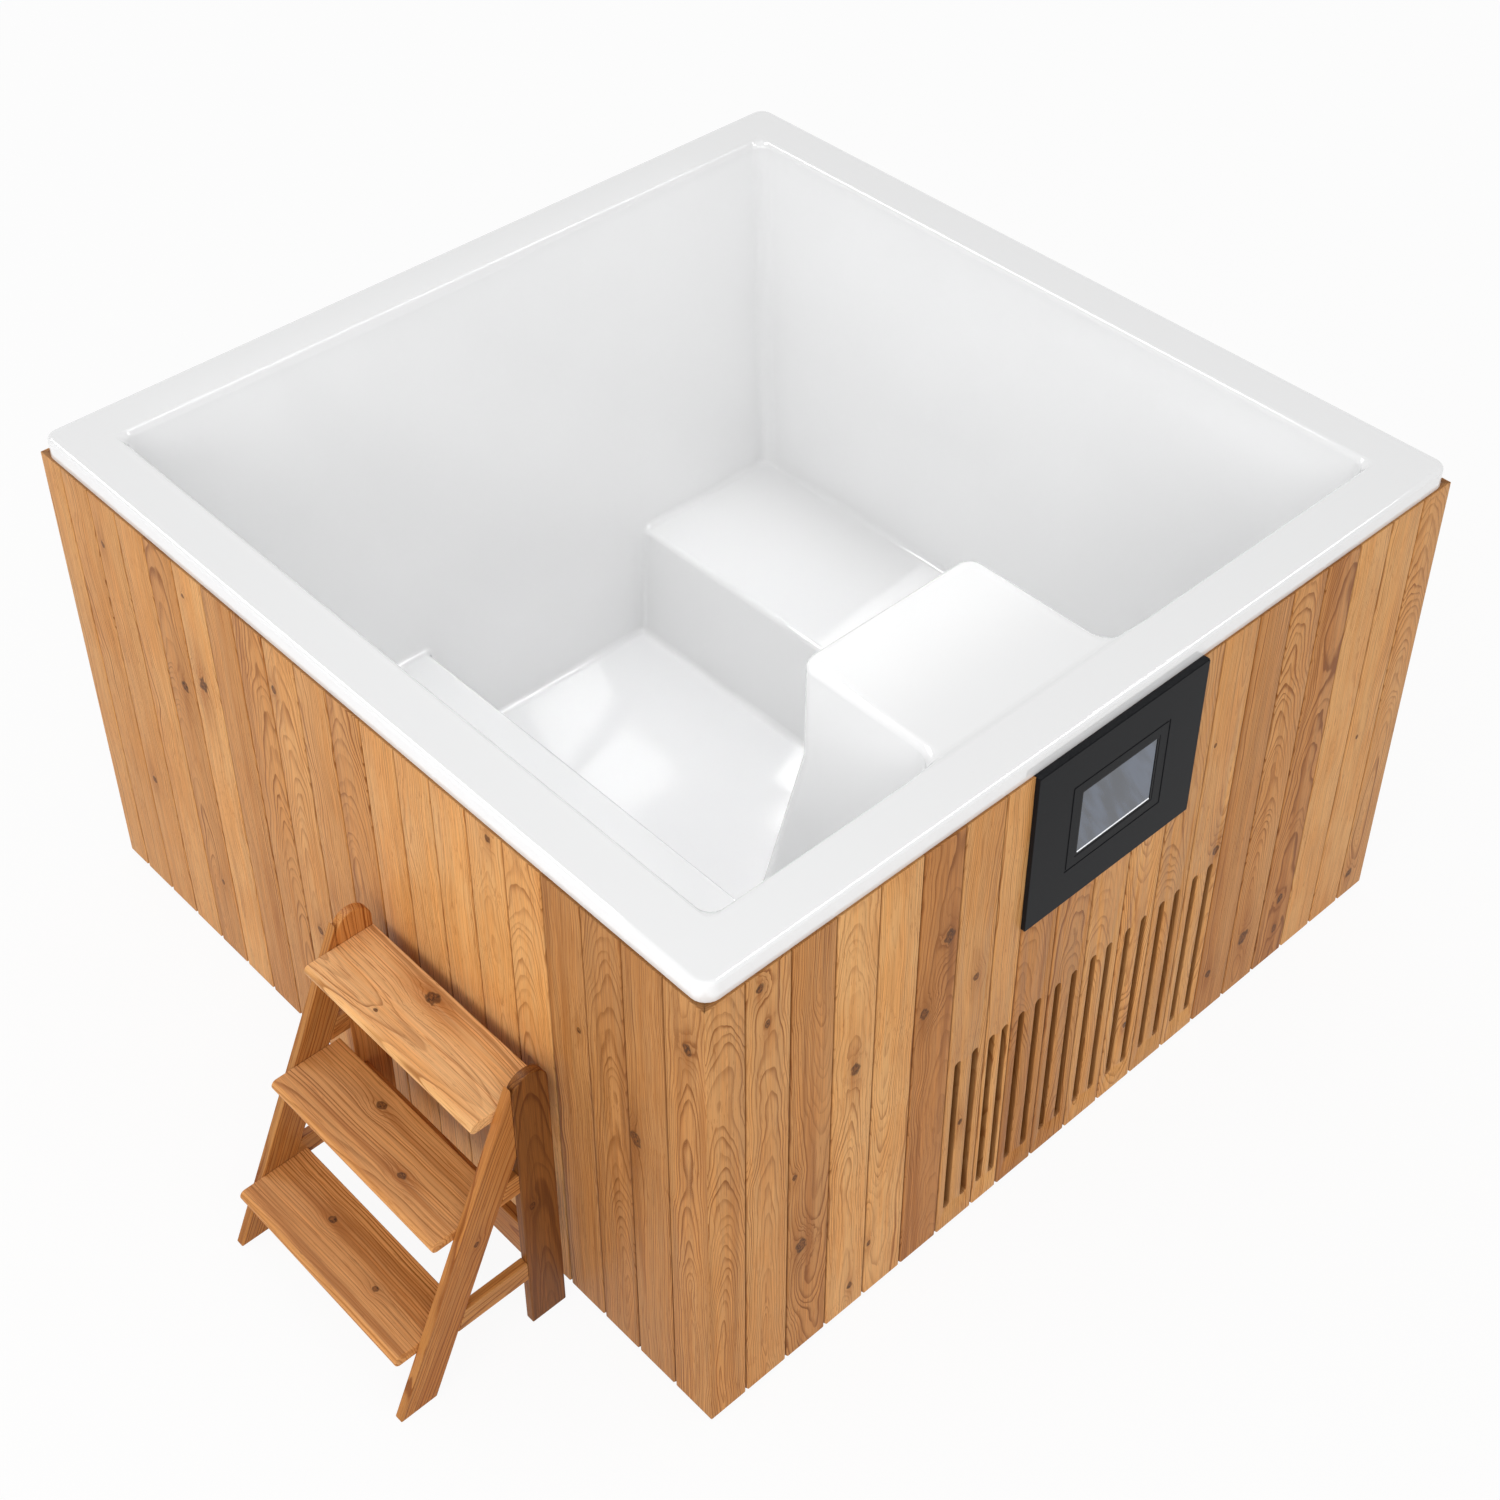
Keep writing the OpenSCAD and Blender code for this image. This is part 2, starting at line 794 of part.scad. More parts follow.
module fan_shroud() {
    color([0.18, 0.18, 0.19])
        translate([coil_x, shroud_y, coil_z])
            rotate([-90, 0, 0])
                difference() {
                    union() {
                        translate([-shroud_w / 2, -shroud_w / 2, 0])
                            cube([shroud_w, shroud_w, 3]);
                        ring(fan_d / 2 + 7, fan_d / 2 + 4, 40);
                        // Spider arms that carry the motor
                        for (a = [45 : 90 : 315])
                            rotate([0, 0, a])
                                translate([40, -4, 36])
                                    cube([fan_d / 2 - 34, 8, 4]);
                        translate([0, 0, 36])
                            ring(44, 36, 4);
                    }
                    translate([0, 0, -1])
                        cylinder(r = fan_d / 2 + 4, h = 20);
                }
}

module fan_motor() {
    color([0.25, 0.25, 0.27])
        translate([coil_x, shroud_y + 36, coil_z])
            rotate([-90, 0, 0]) {
                cylinder(r = 35.9, h = 46);
                translate([0, 0, -22])
                    cylinder(r = 4, h = 24);
            }
}

// Five-bladed fan on the motor's shaft
module fan_rotor() {
    color([0.1, 0.1, 0.11])
        translate([coil_x, shroud_y + 8, coil_z])
            rotate([-90, 0, 0])
                difference() {
                    union() {
                        cylinder(r = 24, h = 22);
                        for (a = [0 : 72 : 288])
                            rotate([0, 0, a])
                                translate([20, 0, 11])
                                    rotate([35, 0, 0])
                                        translate([0, -26, -1.5])
                                            cube([fan_d / 2 - 22, 52, 3]);
                    }
                    translate([0, 0, 5])
                        cylinder(r = 4.05, h = 20);
                    translate([0, 0, -40])
                        cylinder(r = 200, h = 30);
                }
}

compressor_in = 285;
compressor_x = exchanger_x + 12;
compressor_y = bay_front + compressor_in;

module compressor() {
    color([0.08, 0.08, 0.09])
        translate([compressor_x, compressor_y, tray_top]) {
            for (a = [0, 120, 240])
                rotate([0, 0, a])
                    translate([66, 0, 0])
                        cylinder(r = 12, h = 12);
            translate([0, 0, 10])
                cylinder(r = 72, h = 4);
            translate([0, 0, 12])
                rotate_extrude()
                    polygon(concat([[0, 0], [58, 0]],
                        [for (a = [0 : 15 : 90]) [28 + 30 * cos(a), 165 + 30 * sin(a)]], [[0, 195]]));
        }
}

module heat_exchanger() {
    color([0.2, 0.2, 0.22])
        translate([exchanger_x, exchanger_y, shelf_z + shelf_t]) {
            cylinder(r = 52, h = exchanger_h);
            for (z = [18, exchanger_h - 30])
                translate([0, 0, z])
                    cylinder(r = 54, h = 12);
            // Stub for the return pipe
            translate([0, 0, exchanger_h - 60])
                along_x(12, 40, 62);
        }
}

line_r = 5;

// A copper tube through a list of points, with round corners
module tube(points) {
    for (i = [0 : len(points) - 2]) {
        d = points[i + 1] - points[i];
        l = norm(d);
        translate(points[i])
            rotate([0, acos(d[2] / l), atan2(d[1], d[0])])
                cylinder(r = line_r, h = l, $fn = 24);
    }
    for (i = [1 : len(points) - 2])
        translate(points[i])
            sphere(r = line_r + 0.4, $fn = 24);
}

// Copper lines: compressor to coil, and coil to exchanger
module refrigerant_lines() {
    coil_y = fan_y - 55 + coil_t / 2;
    right_x = coil_x + coil_w / 2 + 14;
    left_x = coil_x - coil_w / 2 - 14;
    row5 = coil_z - coil_h / 2 + 5 * coil_h / 7;
    row6 = coil_z - coil_h / 2 + 6 * coil_h / 7;
    high = shelf_z + shelf_t + 90;
    color([0.72, 0.42, 0.25]) {
        tube([[compressor_x, compressor_y - 20, tray_top + 207.2], [compressor_x, compressor_y - 20, row5],
            [right_x, compressor_y - 20, row5], [right_x, coil_y, row5]]);
        tube([[left_x, coil_y, row6], [left_x, coil_y, high], [exchanger_x, coil_y, high],
            [exchanger_x, exchanger_y - 52.2, high]]);
    }
}

// Water circuit: pump, filter, lamp, exchanger, jet

motor_l = 150;
volute_l = 52;

module pump_motor() {
    color([0.15, 0.2, 0.32])
        difference() {
            translate([pump_x, 0, pump_z]) {
                along_y(48, pump_y - volute_l / 2 - motor_l, pump_y - volute_l / 2 - 0.2);
                for (i = [0 : 7])
                    rotate([0, i * 45, 0])
                        box(-2, 2, pump_y - volute_l / 2 - motor_l + 20, pump_y - volute_l / 2 - 20,
                            40, 53);
                box(-34, 34, pump_y - 150, pump_y - 60, tray_top - pump_z, -40);
                along_y(5, pump_y - volute_l / 2 - 1, pump_y + 4);
            }
        }
}

module pump_volute() {
    color([0.12, 0.12, 0.13])
        difference() {
            union() {
                translate([pump_x, 0, pump_z]) {
                    along_y(58, pump_y - volute_l / 2, pump_y + volute_l / 2);
                    along_y(28, pump_y + volute_l / 2 - 1, pump_y + volute_l / 2 + 18);
                }
                translate([pump_x, pump_y, pump_z])
                    cylinder(r = 24, h = 84);
                box(pump_x - 40, pump_x + 40, pump_y - 20, pump_y + 20, tray_top, pump_z - 40);
            }
            translate([pump_x, 0, pump_z]) {
                along_y(48, pump_y - volute_l / 2 + 5, pump_y + volute_l / 2 - 5);
                along_y(19, pump_y, pump_y + volute_l);
                along_y(7, pump_y - volute_l, pump_y);
            }
            translate([pump_x, pump_y, pump_z + 20])
                cylinder(r = 18, h = 90);
        }
}

module pump_impeller() {
    color([0.85, 0.85, 0.83])
        translate([pump_x, pump_y - volute_l / 2 + 9, pump_z])
            rotate([-90, 0, 0])
                difference() {
                    union() {
                        cylinder(r = 42, h = 4);
                        cylinder(r = 12, h = 26);
                        for (a = [0 : 60 : 300])
                            rotate([0, 0, a])
                                translate([9, 0, 3])
                                    rotate([0, 0, 28])
                                        translate([0, -1.5, 0])
                                            cube([28, 3, 16]);
                    }
                    translate([0, 0, -1])
                        cylinder(r = 5.05, h = 25);
                }
}

// Straight from the pump's mouth, then along the tail of the suction cover
module suction_pipe() {
    joint_y = block_face_y(suction_z) - suction_l * cos(block_lean);
    color([0.9, 0.9, 0.9])
        difference() {
            union() {
                translate([pump_x, 0, pump_z])
                    along_y(22, pump_y + volute_l / 2 + 18.2, joint_y);
                translate([pump_x, joint_y, pump_z])
                    sphere(r = 22);
                on_block_face(pump_x, suction_z)
                    translate([0, 0, -suction_l])
                        cylinder(r = 22, h = suction_l - 26.2);
            }
            translate([pump_x, 0, pump_z])
                along_y(19, pump_y, joint_y);
            translate([pump_x, joint_y, pump_z])
                sphere(r = 19);
            on_block_face(pump_x, suction_z)
                translate([0, 0, -suction_l])
                    cylinder(r = 19, h = suction_l);
        }
}

// Domed grille on the wet side, with its threaded tail through the shell
module suction_cover() {
    color([0.93, 0.93, 0.93])
        on_block_face(pump_x, suction_z)
            difference() {
                union() {
                    translate([0, 0, -26])
                        cylinder(r = 23, h = 27);
                    translate([0, 0, 0.2])
                        cylinder(r = 52, h = 5);
                    translate([0, 0, 5])
                        cylinder(r1 = 44, r2 = 34, h = 14);
                    // Ring nut behind the shell
                    translate([0, 0, -shell_t - 10])
                        ring(38, 22, 9);
                }
                translate([0, 0, -27])
                    cylinder(r = 19, h = 40);
                for (a = [0 : 20 : 340])
                    rotate([0, 0, a])
                        translate([22, -1.8, 9])
                            cube([30, 3.6, 7]);
                for (a = [0 : 60 : 300])
                    rotate([0, 0, a])
                        translate([9, 0, 8])
                            cylinder(r = 2.6, h = 20);
            }
}

filter_r = 56;
filter_hgt = 250;
filter_foot = shelf_z + shelf_t;
filter_port = filter_foot + 40;

// From the pump's top port up through the shelf and over to the filter
module pump_pipe() {
    z0 = pump_z + 84.2;
    bend = 40;
    reach = norm([pump_x - filter_x, pump_y - filter_y]);
    color([0.9, 0.9, 0.9])
        translate([pump_x, pump_y, 0])
            rotate([0, 0, atan2(pump_y - filter_y, pump_x - filter_x)]) {
                translate([0, 0, z0])
                    ring(21, 18, filter_port - bend - z0);
                translate([0, 0, filter_port - bend])
                    elbow(bend, 21, 18);
                translate([-bend, 0, filter_port])
                    rotate([0, -90, 0])
                        ring(21, 18, reach - filter_r - bend - 0.3);
            }
}

// Short pipe between two round bodies that stand at a and b
module link(a, b, ra, rb, z) {
    d = b - a;
    translate([a[0], a[1], z])
        rotate([0, 90, atan2(d[1], d[0])])
            translate([0, 0, ra + 0.2])
                ring(14, 11, norm(d) - ra - rb - 0.4);
}

// Filter to lamp, and lamp to exchanger
module link_pipes() {
    color([0.9, 0.9, 0.9]) {
        link([filter_x, filter_y], [lamp_x, lamp_y], filter_r, 25, filter_foot + 130);
        link([lamp_x, lamp_y], [exchanger_x, exchanger_y], 25, 52, filter_foot + 60);
    }
}

module filter_housing() {
    color([0.86, 0.87, 0.88])
        translate([filter_x, filter_y, filter_foot])
            difference() {
                union() {
                    cylinder(r = filter_r, h = filter_hgt);
                    translate([0, 0, filter_hgt - 26])
                        cylinder(r = filter_r + 8, h = 14);
                }
                translate([0, 0, 5])
                    cylinder(r = filter_r - 5, h = filter_hgt);
            }
}

module filter_cartridge() {
    pleats = 24;
    r_mid = filter_r - 15;
    color([0.92, 0.93, 0.96])
        translate([filter_x, filter_y, filter_foot + 5]) {
            linear_extrude(filter_hgt - 40)
                difference() {
                    polygon([for (i = [0 : 2 * pleats - 1])
                        let (r = r_mid + (i % 2 == 0 ? 7 : -7))
                        [r * cos(i * 180 / pleats), r * sin(i * 180 / pleats)]]);
                    circle(r = 20);
                }
            for (z = [0, filter_hgt - 45])
                translate([0, 0, z])
                    ring(filter_r - 7, 20, 5);
        }
}

// Screw cap of the filter, with grip lugs
module filter_lid() {
    color([0.1, 0.1, 0.11])
        translate([filter_x, filter_y, filter_foot + filter_hgt + 0.2]) {
            difference() {
                union() {
                    translate([0, 0, -11.6])
                        cylinder(r = filter_r + 9, h = 24);
                    for (a = [0 : 60 : 300])
                        rotate([0, 0, a])
                            translate([filter_r + 6, 0, -9.6])
                                cylinder(r = 9, h = 20);
                    translate([-34, -8, 12])
                        cube([68, 16, 20]);
                }
                translate([0, 0, -14])
                    cylinder(r = filter_r + 0.3, h = 14);
            }
        }
}

module uv_lamp_unit() {
    color([0.75, 0.76, 0.78])
        translate([lamp_x, lamp_y, shelf_z + shelf_t]) {
            cylinder(r = 25, h = 230);
            for (z = [0, 212])
                translate([0, 0, z])
                    cylinder(r = 30, h = 18);
        }
}

// From the exchanger's stub over and along the tail of the jet
module return_pipe() {
    joint_y = block_face_y(jet_z) - tail_l * cos(block_lean);
    color([0.9, 0.9, 0.9])
        difference() {
            union() {
                translate([0, exchanger_y, return_z])
                    along_x(14, exchanger_x + 62.2, jet_x);
                translate([jet_x, 0, return_z])
                    along_y(14, exchanger_y, joint_y);
                for (y = [exchanger_y, joint_y])
                    translate([jet_x, y, return_z])
                        sphere(r = 14);
                on_block_face(jet_x, jet_z)
                    translate([0, 0, -tail_l])
                        cylinder(r = 14, h = tail_l - 30.2);
            }
            translate([0, exchanger_y, return_z])
                along_x(11, exchanger_x, jet_x);
            translate([jet_x, 0, return_z])
                along_y(11, exchanger_y, joint_y);
            for (y = [exchanger_y, joint_y])
                translate([jet_x, y, return_z])
                    sphere(r = 11);
            on_block_face(jet_x, jet_z)
                translate([0, 0, -tail_l])
                    cylinder(r = 11, h = tail_l);
        }
}

jet_ball_r = 17;

// Jet body on the block's back face: flange, socket and tail
module return_jet() {
    color([0.93, 0.93, 0.93])
        on_block_face(jet_x, jet_z)
            difference() {
                union() {
                    translate([0, 0, 0.2])
                        cylinder(r = 40, h = 6);
                    translate([0, 0, -30])
                        cylinder(r = 28, h = 31);
                    translate([0, 0, -shell_t - 10])
                        ring(37, 27, 9);
                }
                sphere(r = jet_ball_r + 0.05);
                translate([0, 0, -31])
                    cylinder(r = 12, h = 40);
            }
}

module jet_nozzle() {
    color([0.88, 0.88, 0.89])
        on_block_face(jet_x, jet_z)
            difference() {
                union() {
                    difference() {
                        sphere(r = jet_ball_r);
                        translate([-30, -30, -40])
                            cube([60, 60, 30]);
                    }
                    translate([0, 0, 8])
                        cylinder(r = 11, h = 10);
                }
                translate([0, 0, -20])
                    cylinder(r = 7, h = 50);
            }
}

// Drain

module drain_fitting() {
    x0 = riser_x(drain_z);
    lean = atan(riser_lean / (bench_h - footwell_h));
    color([0.93, 0.93, 0.93])
        translate([x0, drain_y, drain_z])
            difference() {
                union() {
                    rotate([0, -90 + lean, 0])
                        translate([0, 0, 0.2])
                            cylinder(r = 32, h = 4);
                    rotate([0, -90 + lean, 0])
                        translate([0, 0, -shell_t - 10.4])
                            ring(30, drain_r, 9);
                    along_x(drain_r + 3, 0, 34);
                }
                along_x(drain_bore, -20, 40);
                for (a = [0 : 60 : 300])
                    rotate([0, -90 + lean, 0])
                        rotate([0, 0, a])
                            translate([22, 0, 2])
                                cylinder(r = 2.5, h = 5);
            }
}

module drain_pipe() {
    color([0.9, 0.9, 0.9])
        translate([0, drain_y, drain_z])
            difference() {
                along_x(drain_r, riser_x(drain_z) + 34.2, half_w + 6);
                along_x(drain_bore, 0, half_w + 10);
            }
}

valve_h = 58;

// Ball valve on the right side, with a threaded mouth that takes a hose tail
module drain_valve() {
    color([0.78, 0.66, 0.35])
        translate([0, drain_y, drain_z])
            difference() {
                union() {
                    along_x(22, half_w + 6.2, outlet_end);
                    translate([valve_x, 0, 0])
                        sphere(r = 27);
                    translate([valve_x, 0, 0])
                        cylinder(r = 11, h = 36);
                }
                along_x(drain_bore, half_w, valve_x);
                along_x(drain_bore, valve_x, outlet_end + 1);
                along_x(outlet_r, outlet_end - 16, outlet_end + 1);
                translate([valve_x, 0, 0])
                    sphere(r = 19.05);
                translate([valve_x, 0, 0])
                    cylinder(r = 5.05, h = 40);
            }
}

module valve_ball() {
    color([0.8, 0.8, 0.82])
        translate([valve_x, drain_y, drain_z])
            difference() {
                union() {
                    sphere(r = 19);
                    cylinder(r = 5, h = 44);
                }
                along_y(11, -25, 25);
            }
}

module drain_lever() {
    color([0.75, 0.1, 0.08])
        translate([valve_x, drain_y, drain_z + 38]) {
            difference() {
                union() {
                    cylinder(r = 12, h = 6);
                    box(-9, 9, 0, 96, 0, 5);
                    translate([0, 96, 0])
                        cylinder(r = 9, h = 5);
                }
                translate([0, 0, -1])
                    cylinder(r = 5.02, h = 9);
            }
        }
}

cover_t = 4;
inlet_half = 36;
inlet_pin_z = inlet_z + inlet_half + 7;
inlet_pin_x = half_w + 12;

// Weatherproof plug inlet with its pins, and hinge ears over it
module power_inlet() {
    color([0.2, 0.2, 0.21]) {
        difference() {
            union() {
                box(half_w + 0.2, half_w + 9, inlet_y - inlet_half, inlet_y + inlet_half,
                    inlet_z - inlet_half, inlet_z + inlet_half);
                translate([0, inlet_y, inlet_z])
                    along_x(inlet_r + 4, half_w - 38, half_w + 14);
                for (y = [inlet_y - 26, inlet_y + 18])
                    box(half_w + 0.2, inlet_pin_x + 5, y, y + 8, inlet_z + inlet_half - 2, inlet_pin_z + 5);
                translate([inlet_pin_x, 0, inlet_pin_z])
                    along_y(2, inlet_y - 26, inlet_y + 26);
            }
            translate([0, inlet_y, inlet_z])
                along_x(inlet_r, half_w - 34, half_w + 15);
        }
        for (a = [90 : 120 : 330])
            translate([0, inlet_y + 9 * cos(a), inlet_z + 9 * sin(a)])
                along_x(2.4, half_w - 35, half_w - 8);
    }
}

module inlet_cover() {
    color([0.16, 0.16, 0.17])
        difference() {
            union() {
                box(half_w + 14.4, half_w + 14.4 + cover_t, inlet_y - inlet_half + 4,
                    inlet_y + inlet_half - 4, inlet_z - inlet_half + 2, inlet_pin_z + 3);
                translate([inlet_pin_x, 0, inlet_pin_z])
                    along_y(4.6, inlet_y - 17.6, inlet_y + 17.6);
                box(inlet_pin_x, half_w + 16, inlet_y - 17.6, inlet_y + 17.6,
                    inlet_pin_z - 4.6, inlet_pin_z + 4.6);
                // Finger tab
                box(half_w + 14.4, half_w + 24, inlet_y - 12, inlet_y + 12,
                    inlet_z - inlet_half - 4, inlet_z - inlet_half + 3);
            }
            translate([inlet_pin_x, 0, inlet_pin_z])
                along_y(2.05, inlet_y - 30, inlet_y + 30);
            for (y = [inlet_y - 27, inlet_y + 17.8])
                box(half_w, inlet_pin_x + 12, y, y + 9.2, inlet_pin_z - 13, inlet_pin_z + 8);
        }
}

// Step stool

// X of a stile's front edge at a height
function stile_x(z) = stile_foot + z * stile_lean;

module on_frames() {
    for (y = [frame_near, frame_far - stool_frame_t])
        translate([0, y, 0])
            children();
}

// Cuts a shape from a plank that stands in the XZ plane
module plank(t) {
    translate([0, t, 0])
        rotate([90, 0, 0])
            linear_extrude(t)
                children();
}

function tread_nose(i) = top_nose - (2 - i) * stool_going;
function tread_top(i) = first_tread_h + i * stool_rise;

dowel_r = 5;
dowel_in = 10;

// Places of the dowels at one end of each tread
module at_dowels() {
    for (i = [0 : 2])
        for (x = [0, 28])
            translate([i == 2 && x > 0 ? leg_front + 30 : stile_x(tread_top(i)) + 18 + x * 0.8,
                0, tread_top(i) - tread_t / 2])
                children();
}

module dowel_holes(r) {
    at_dowels()
        along_y(r, frame_near + stool_frame_t - dowel_in, frame_near + stool_frame_t + 32);
    at_dowels()
        along_y(r, frame_far - stool_frame_t - 32, frame_far - stool_frame_t + dowel_in);
}

stile_top = leg_top - 6;

module stool_front_stiles() {
    color([0.76, 0.52, 0.3])
        difference() {
            on_frames()
                plank(stool_frame_t)
                    intersection() {
                        polygon([[stile_x(0), 0], [stile_x(0) + stile_w, 0],
                            [stile_x(700) + stile_w, 700], [stile_x(700), 700]]);
                        square_to(leg_front - 0.2, stile_top);
                    }
            dowel_holes(dowel_r + 0.05);
        }
}

// Everything left of x and below z
module square_to(x, z) {
    translate([x - 600, 0])
        square([600, z]);
}

module stool_rear_legs() {
    color([0.74, 0.5, 0.29])
        difference() {
            on_frames()
                plank(stool_frame_t) {
                    translate([leg_front, 0])
                        square([leg_w, leg_top - leg_arch_r]);
                    translate([leg_front + leg_arch_r, leg_top - leg_arch_r])
                        circle(r = leg_arch_r);
                }
            dowel_holes(dowel_r + 0.05);
        }
}

module stool_treads() {
    nose_r = tread_t / 2;
    color([0.87, 0.7, 0.5])
        difference() {
            for (i = [0 : 2])
                translate([0, frame_near + stool_frame_t + 0.2, tread_top(i) - tread_t]) {
                    translate([tread_nose(i) + nose_r, 0, 0])
                        cube([tread_d - nose_r, tread_l - 0.4, tread_t]);
                    translate([tread_nose(i) + nose_r, 0, nose_r])
                        along_y(nose_r, 0, tread_l - 0.4);
                }
            dowel_holes(dowel_r + 0.05);
        }
}

brace_h = 39;
lower_brace_z = 113;
upper_brace_z = 326;

module stool_side_braces() {
    color([0.76, 0.52, 0.3])
        on_frames()
            plank(stool_frame_t)
                for (z = [lower_brace_z, upper_brace_z])
                    polygon([[stile_x(z) + stile_w + 0.3, z], [leg_front - 0.2, z],
                        [leg_front - 0.2, z + brace_h], [stile_x(z + brace_h) + stile_w + 0.3, z + brace_h]]);
}

rear_rail_t = 18;

module stool_rear_rails() {
    color([0.74, 0.5, 0.29])
        for (z = [158, top_tread_h - tread_t - 75])
            box(leg_front + 2, leg_front + 2 + rear_rail_t, frame_near + stool_frame_t + 0.2,
                frame_far - stool_frame_t - 0.2, z, z + 74.8);
}

module stool_dowels() {
    color([0.88, 0.76, 0.58])
        dowel_holes(dowel_r);
}

basin_shell();
cladding_front();
cladding_back();
cladding_left();
cladding_right();
corner_posts();
top_rails();
bottom_rails();
middle_rails();
wall_studs();
base_panel();
rubber_feet();
bench_bearers();
step_bearers();
insulation_panels();
vent_mesh();
control_fascia();
screen_bezel();
touch_screen();
control_box();
fascia_nuts();
chiller_tray();
machine_shelf();
condenser_coil();
fan_shroud();
fan_motor();
fan_rotor();
compressor();
heat_exchanger();
refrigerant_lines();
pump_motor();
pump_volute();
pump_impeller();
suction_pipe();
suction_cover();
pump_pipe();
link_pipes();
filter_housing();
filter_cartridge();
filter_lid();
uv_lamp_unit();
return_pipe();
return_jet();
jet_nozzle();
drain_fitting();
drain_pipe();
drain_valve();
valve_ball();
drain_lever();
power_inlet();
inlet_cover();
stool_front_stiles();
stool_rear_legs();
stool_treads();
stool_side_braces();
stool_rear_rails();
stool_dowels();
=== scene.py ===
"""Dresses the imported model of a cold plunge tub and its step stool, in metres, in the model's own frame."""

import json
import math
import random
from contextlib import contextmanager

import bmesh
import bpy
from bpy.props import FloatProperty, FloatVectorProperty, IntProperty, PointerProperty
from mathutils import Euler, Matrix, Vector


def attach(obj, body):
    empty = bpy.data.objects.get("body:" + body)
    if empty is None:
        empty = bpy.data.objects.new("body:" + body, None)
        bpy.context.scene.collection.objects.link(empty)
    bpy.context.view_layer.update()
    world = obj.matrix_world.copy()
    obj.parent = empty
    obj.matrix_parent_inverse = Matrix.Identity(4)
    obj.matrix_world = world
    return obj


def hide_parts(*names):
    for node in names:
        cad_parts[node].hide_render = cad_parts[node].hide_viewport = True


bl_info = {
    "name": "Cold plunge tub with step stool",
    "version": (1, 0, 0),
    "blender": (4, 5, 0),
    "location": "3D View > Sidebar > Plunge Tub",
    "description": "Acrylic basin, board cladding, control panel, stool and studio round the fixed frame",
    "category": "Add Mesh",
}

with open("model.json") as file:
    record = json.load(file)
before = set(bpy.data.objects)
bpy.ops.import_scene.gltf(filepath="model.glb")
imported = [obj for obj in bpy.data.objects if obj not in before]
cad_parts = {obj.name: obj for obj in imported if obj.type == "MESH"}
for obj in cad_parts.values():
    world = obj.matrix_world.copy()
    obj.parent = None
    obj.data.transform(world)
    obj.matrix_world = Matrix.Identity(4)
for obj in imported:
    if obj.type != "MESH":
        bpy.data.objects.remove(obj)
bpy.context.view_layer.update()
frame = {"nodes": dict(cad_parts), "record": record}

MM = 0.001
X, Y, Z = (1, 0, 0), (0, 1, 0), (0, 0, 1)


# ---------------------------------------------------------------- settings


def length(name, text, default):
    return FloatProperty(name=name, description=text, default=default, unit="LENGTH", subtype="DISTANCE")


def share(name, text, default):
    return FloatProperty(name=name, description=text, default=default, min=0.0, max=1.0, subtype="FACTOR")


def power(name, text, default):
    return FloatProperty(name=name, description=text, default=default, min=0.0, unit="POWER")


def colour(name, text, default):
    return FloatVectorProperty(name=name, description=text, default=default, size=3, min=0.0, max=1.0,
                               subtype="COLOR")


class BasinSettings(bpy.types.PropertyGroup):
    shell_t: length("Shell", "Thickness of the acrylic shell", 0.008)
    mouth_edge: length("Mouth edge", "Rounding of the edge between rim and walls", 0.014)
    rim_edge: length("Rim edge", "Rounding along the rim's outer edge", 0.007)
    rim_corner: length("Rim corner", "Rounding of the rim's outer corners, seen from above", 0.026)
    wall_corner: length("Wall corner", "Rounding of the upright corners inside", 0.027)
    block_corner: length("Block corner", "Rounding of the block's upright corners", 0.028)
    block_root: length("Block root", "Hollow rounding where the block grows out of the front wall", 0.044)
    bench_edge: length("Bench edge", "Rounding of the front edges of bench and step", 0.011)
    floor_edge: length("Floor edge", "Hollow rounding round bench, step, risers and footwell floor", 0.013)
    block_drop: length("Block drop", "How far the block's top lies below the rim", 0.008)
    acrylic: colour("Acrylic", "Colour of the shell", (0.955, 0.957, 0.96))
    # Painted shade: the rim is tinted greyer than the walls, though the shell is one acrylic
    rim_painted_shade: share("Rim shade", "How much greyer the rim is than the walls", 0.07)
    # Painted shade: the block's top is tinted greyer than the walls, though it is the same acrylic
    block_painted_shade: share("Block shade", "How much greyer the block's top is than the walls", 0.035)
    gloss: share("Roughness", "Roughness of the acrylic", 0.06)


class CladdingSettings(bpy.types.PropertyGroup):
    chamfer: length("Chamfer", "Chamfer along each board", 0.0024)
    gap: length("Gap", "Open joint between two boards", 0.0006)
    notch: length("Notch", "Size of the cut at the foot of each joint", 0.004)
    slot_w: length("Slot width", "Width of a vent slot", 0.014)
    slot_low: length("Slot foot", "Height of the lower end of the slots", 0.054)
    slot_high: length("Slot head", "Height of the upper end of the slots", 0.408)
    light: colour("Early wood", "Colour of the soft pale wood", (0.625, 0.335, 0.126))
    dark: colour("Late wood", "Colour of the rings", (0.25, 0.079, 0.011))
    seed: IntProperty(name="Seed", description="Another set of boards", default=7, min=0)


class StoolSettings(bpy.types.PropertyGroup):
    edge: length("Edge", "Rounding of the stool's edges", 0.0018)
    tread: colour("Treads", "Colour of the treads' soft wood", (0.74, 0.442, 0.20))
    tread_ring: colour("Tread rings", "Colour of the treads' rings", (0.28, 0.094, 0.018))
    frame: colour("Frames", "Colour of the soft wood of stiles, legs, braces and rails", (0.50, 0.245, 0.078))
    frame_ring: colour("Frame rings", "Colour of the frames' rings", (0.22, 0.066, 0.012))


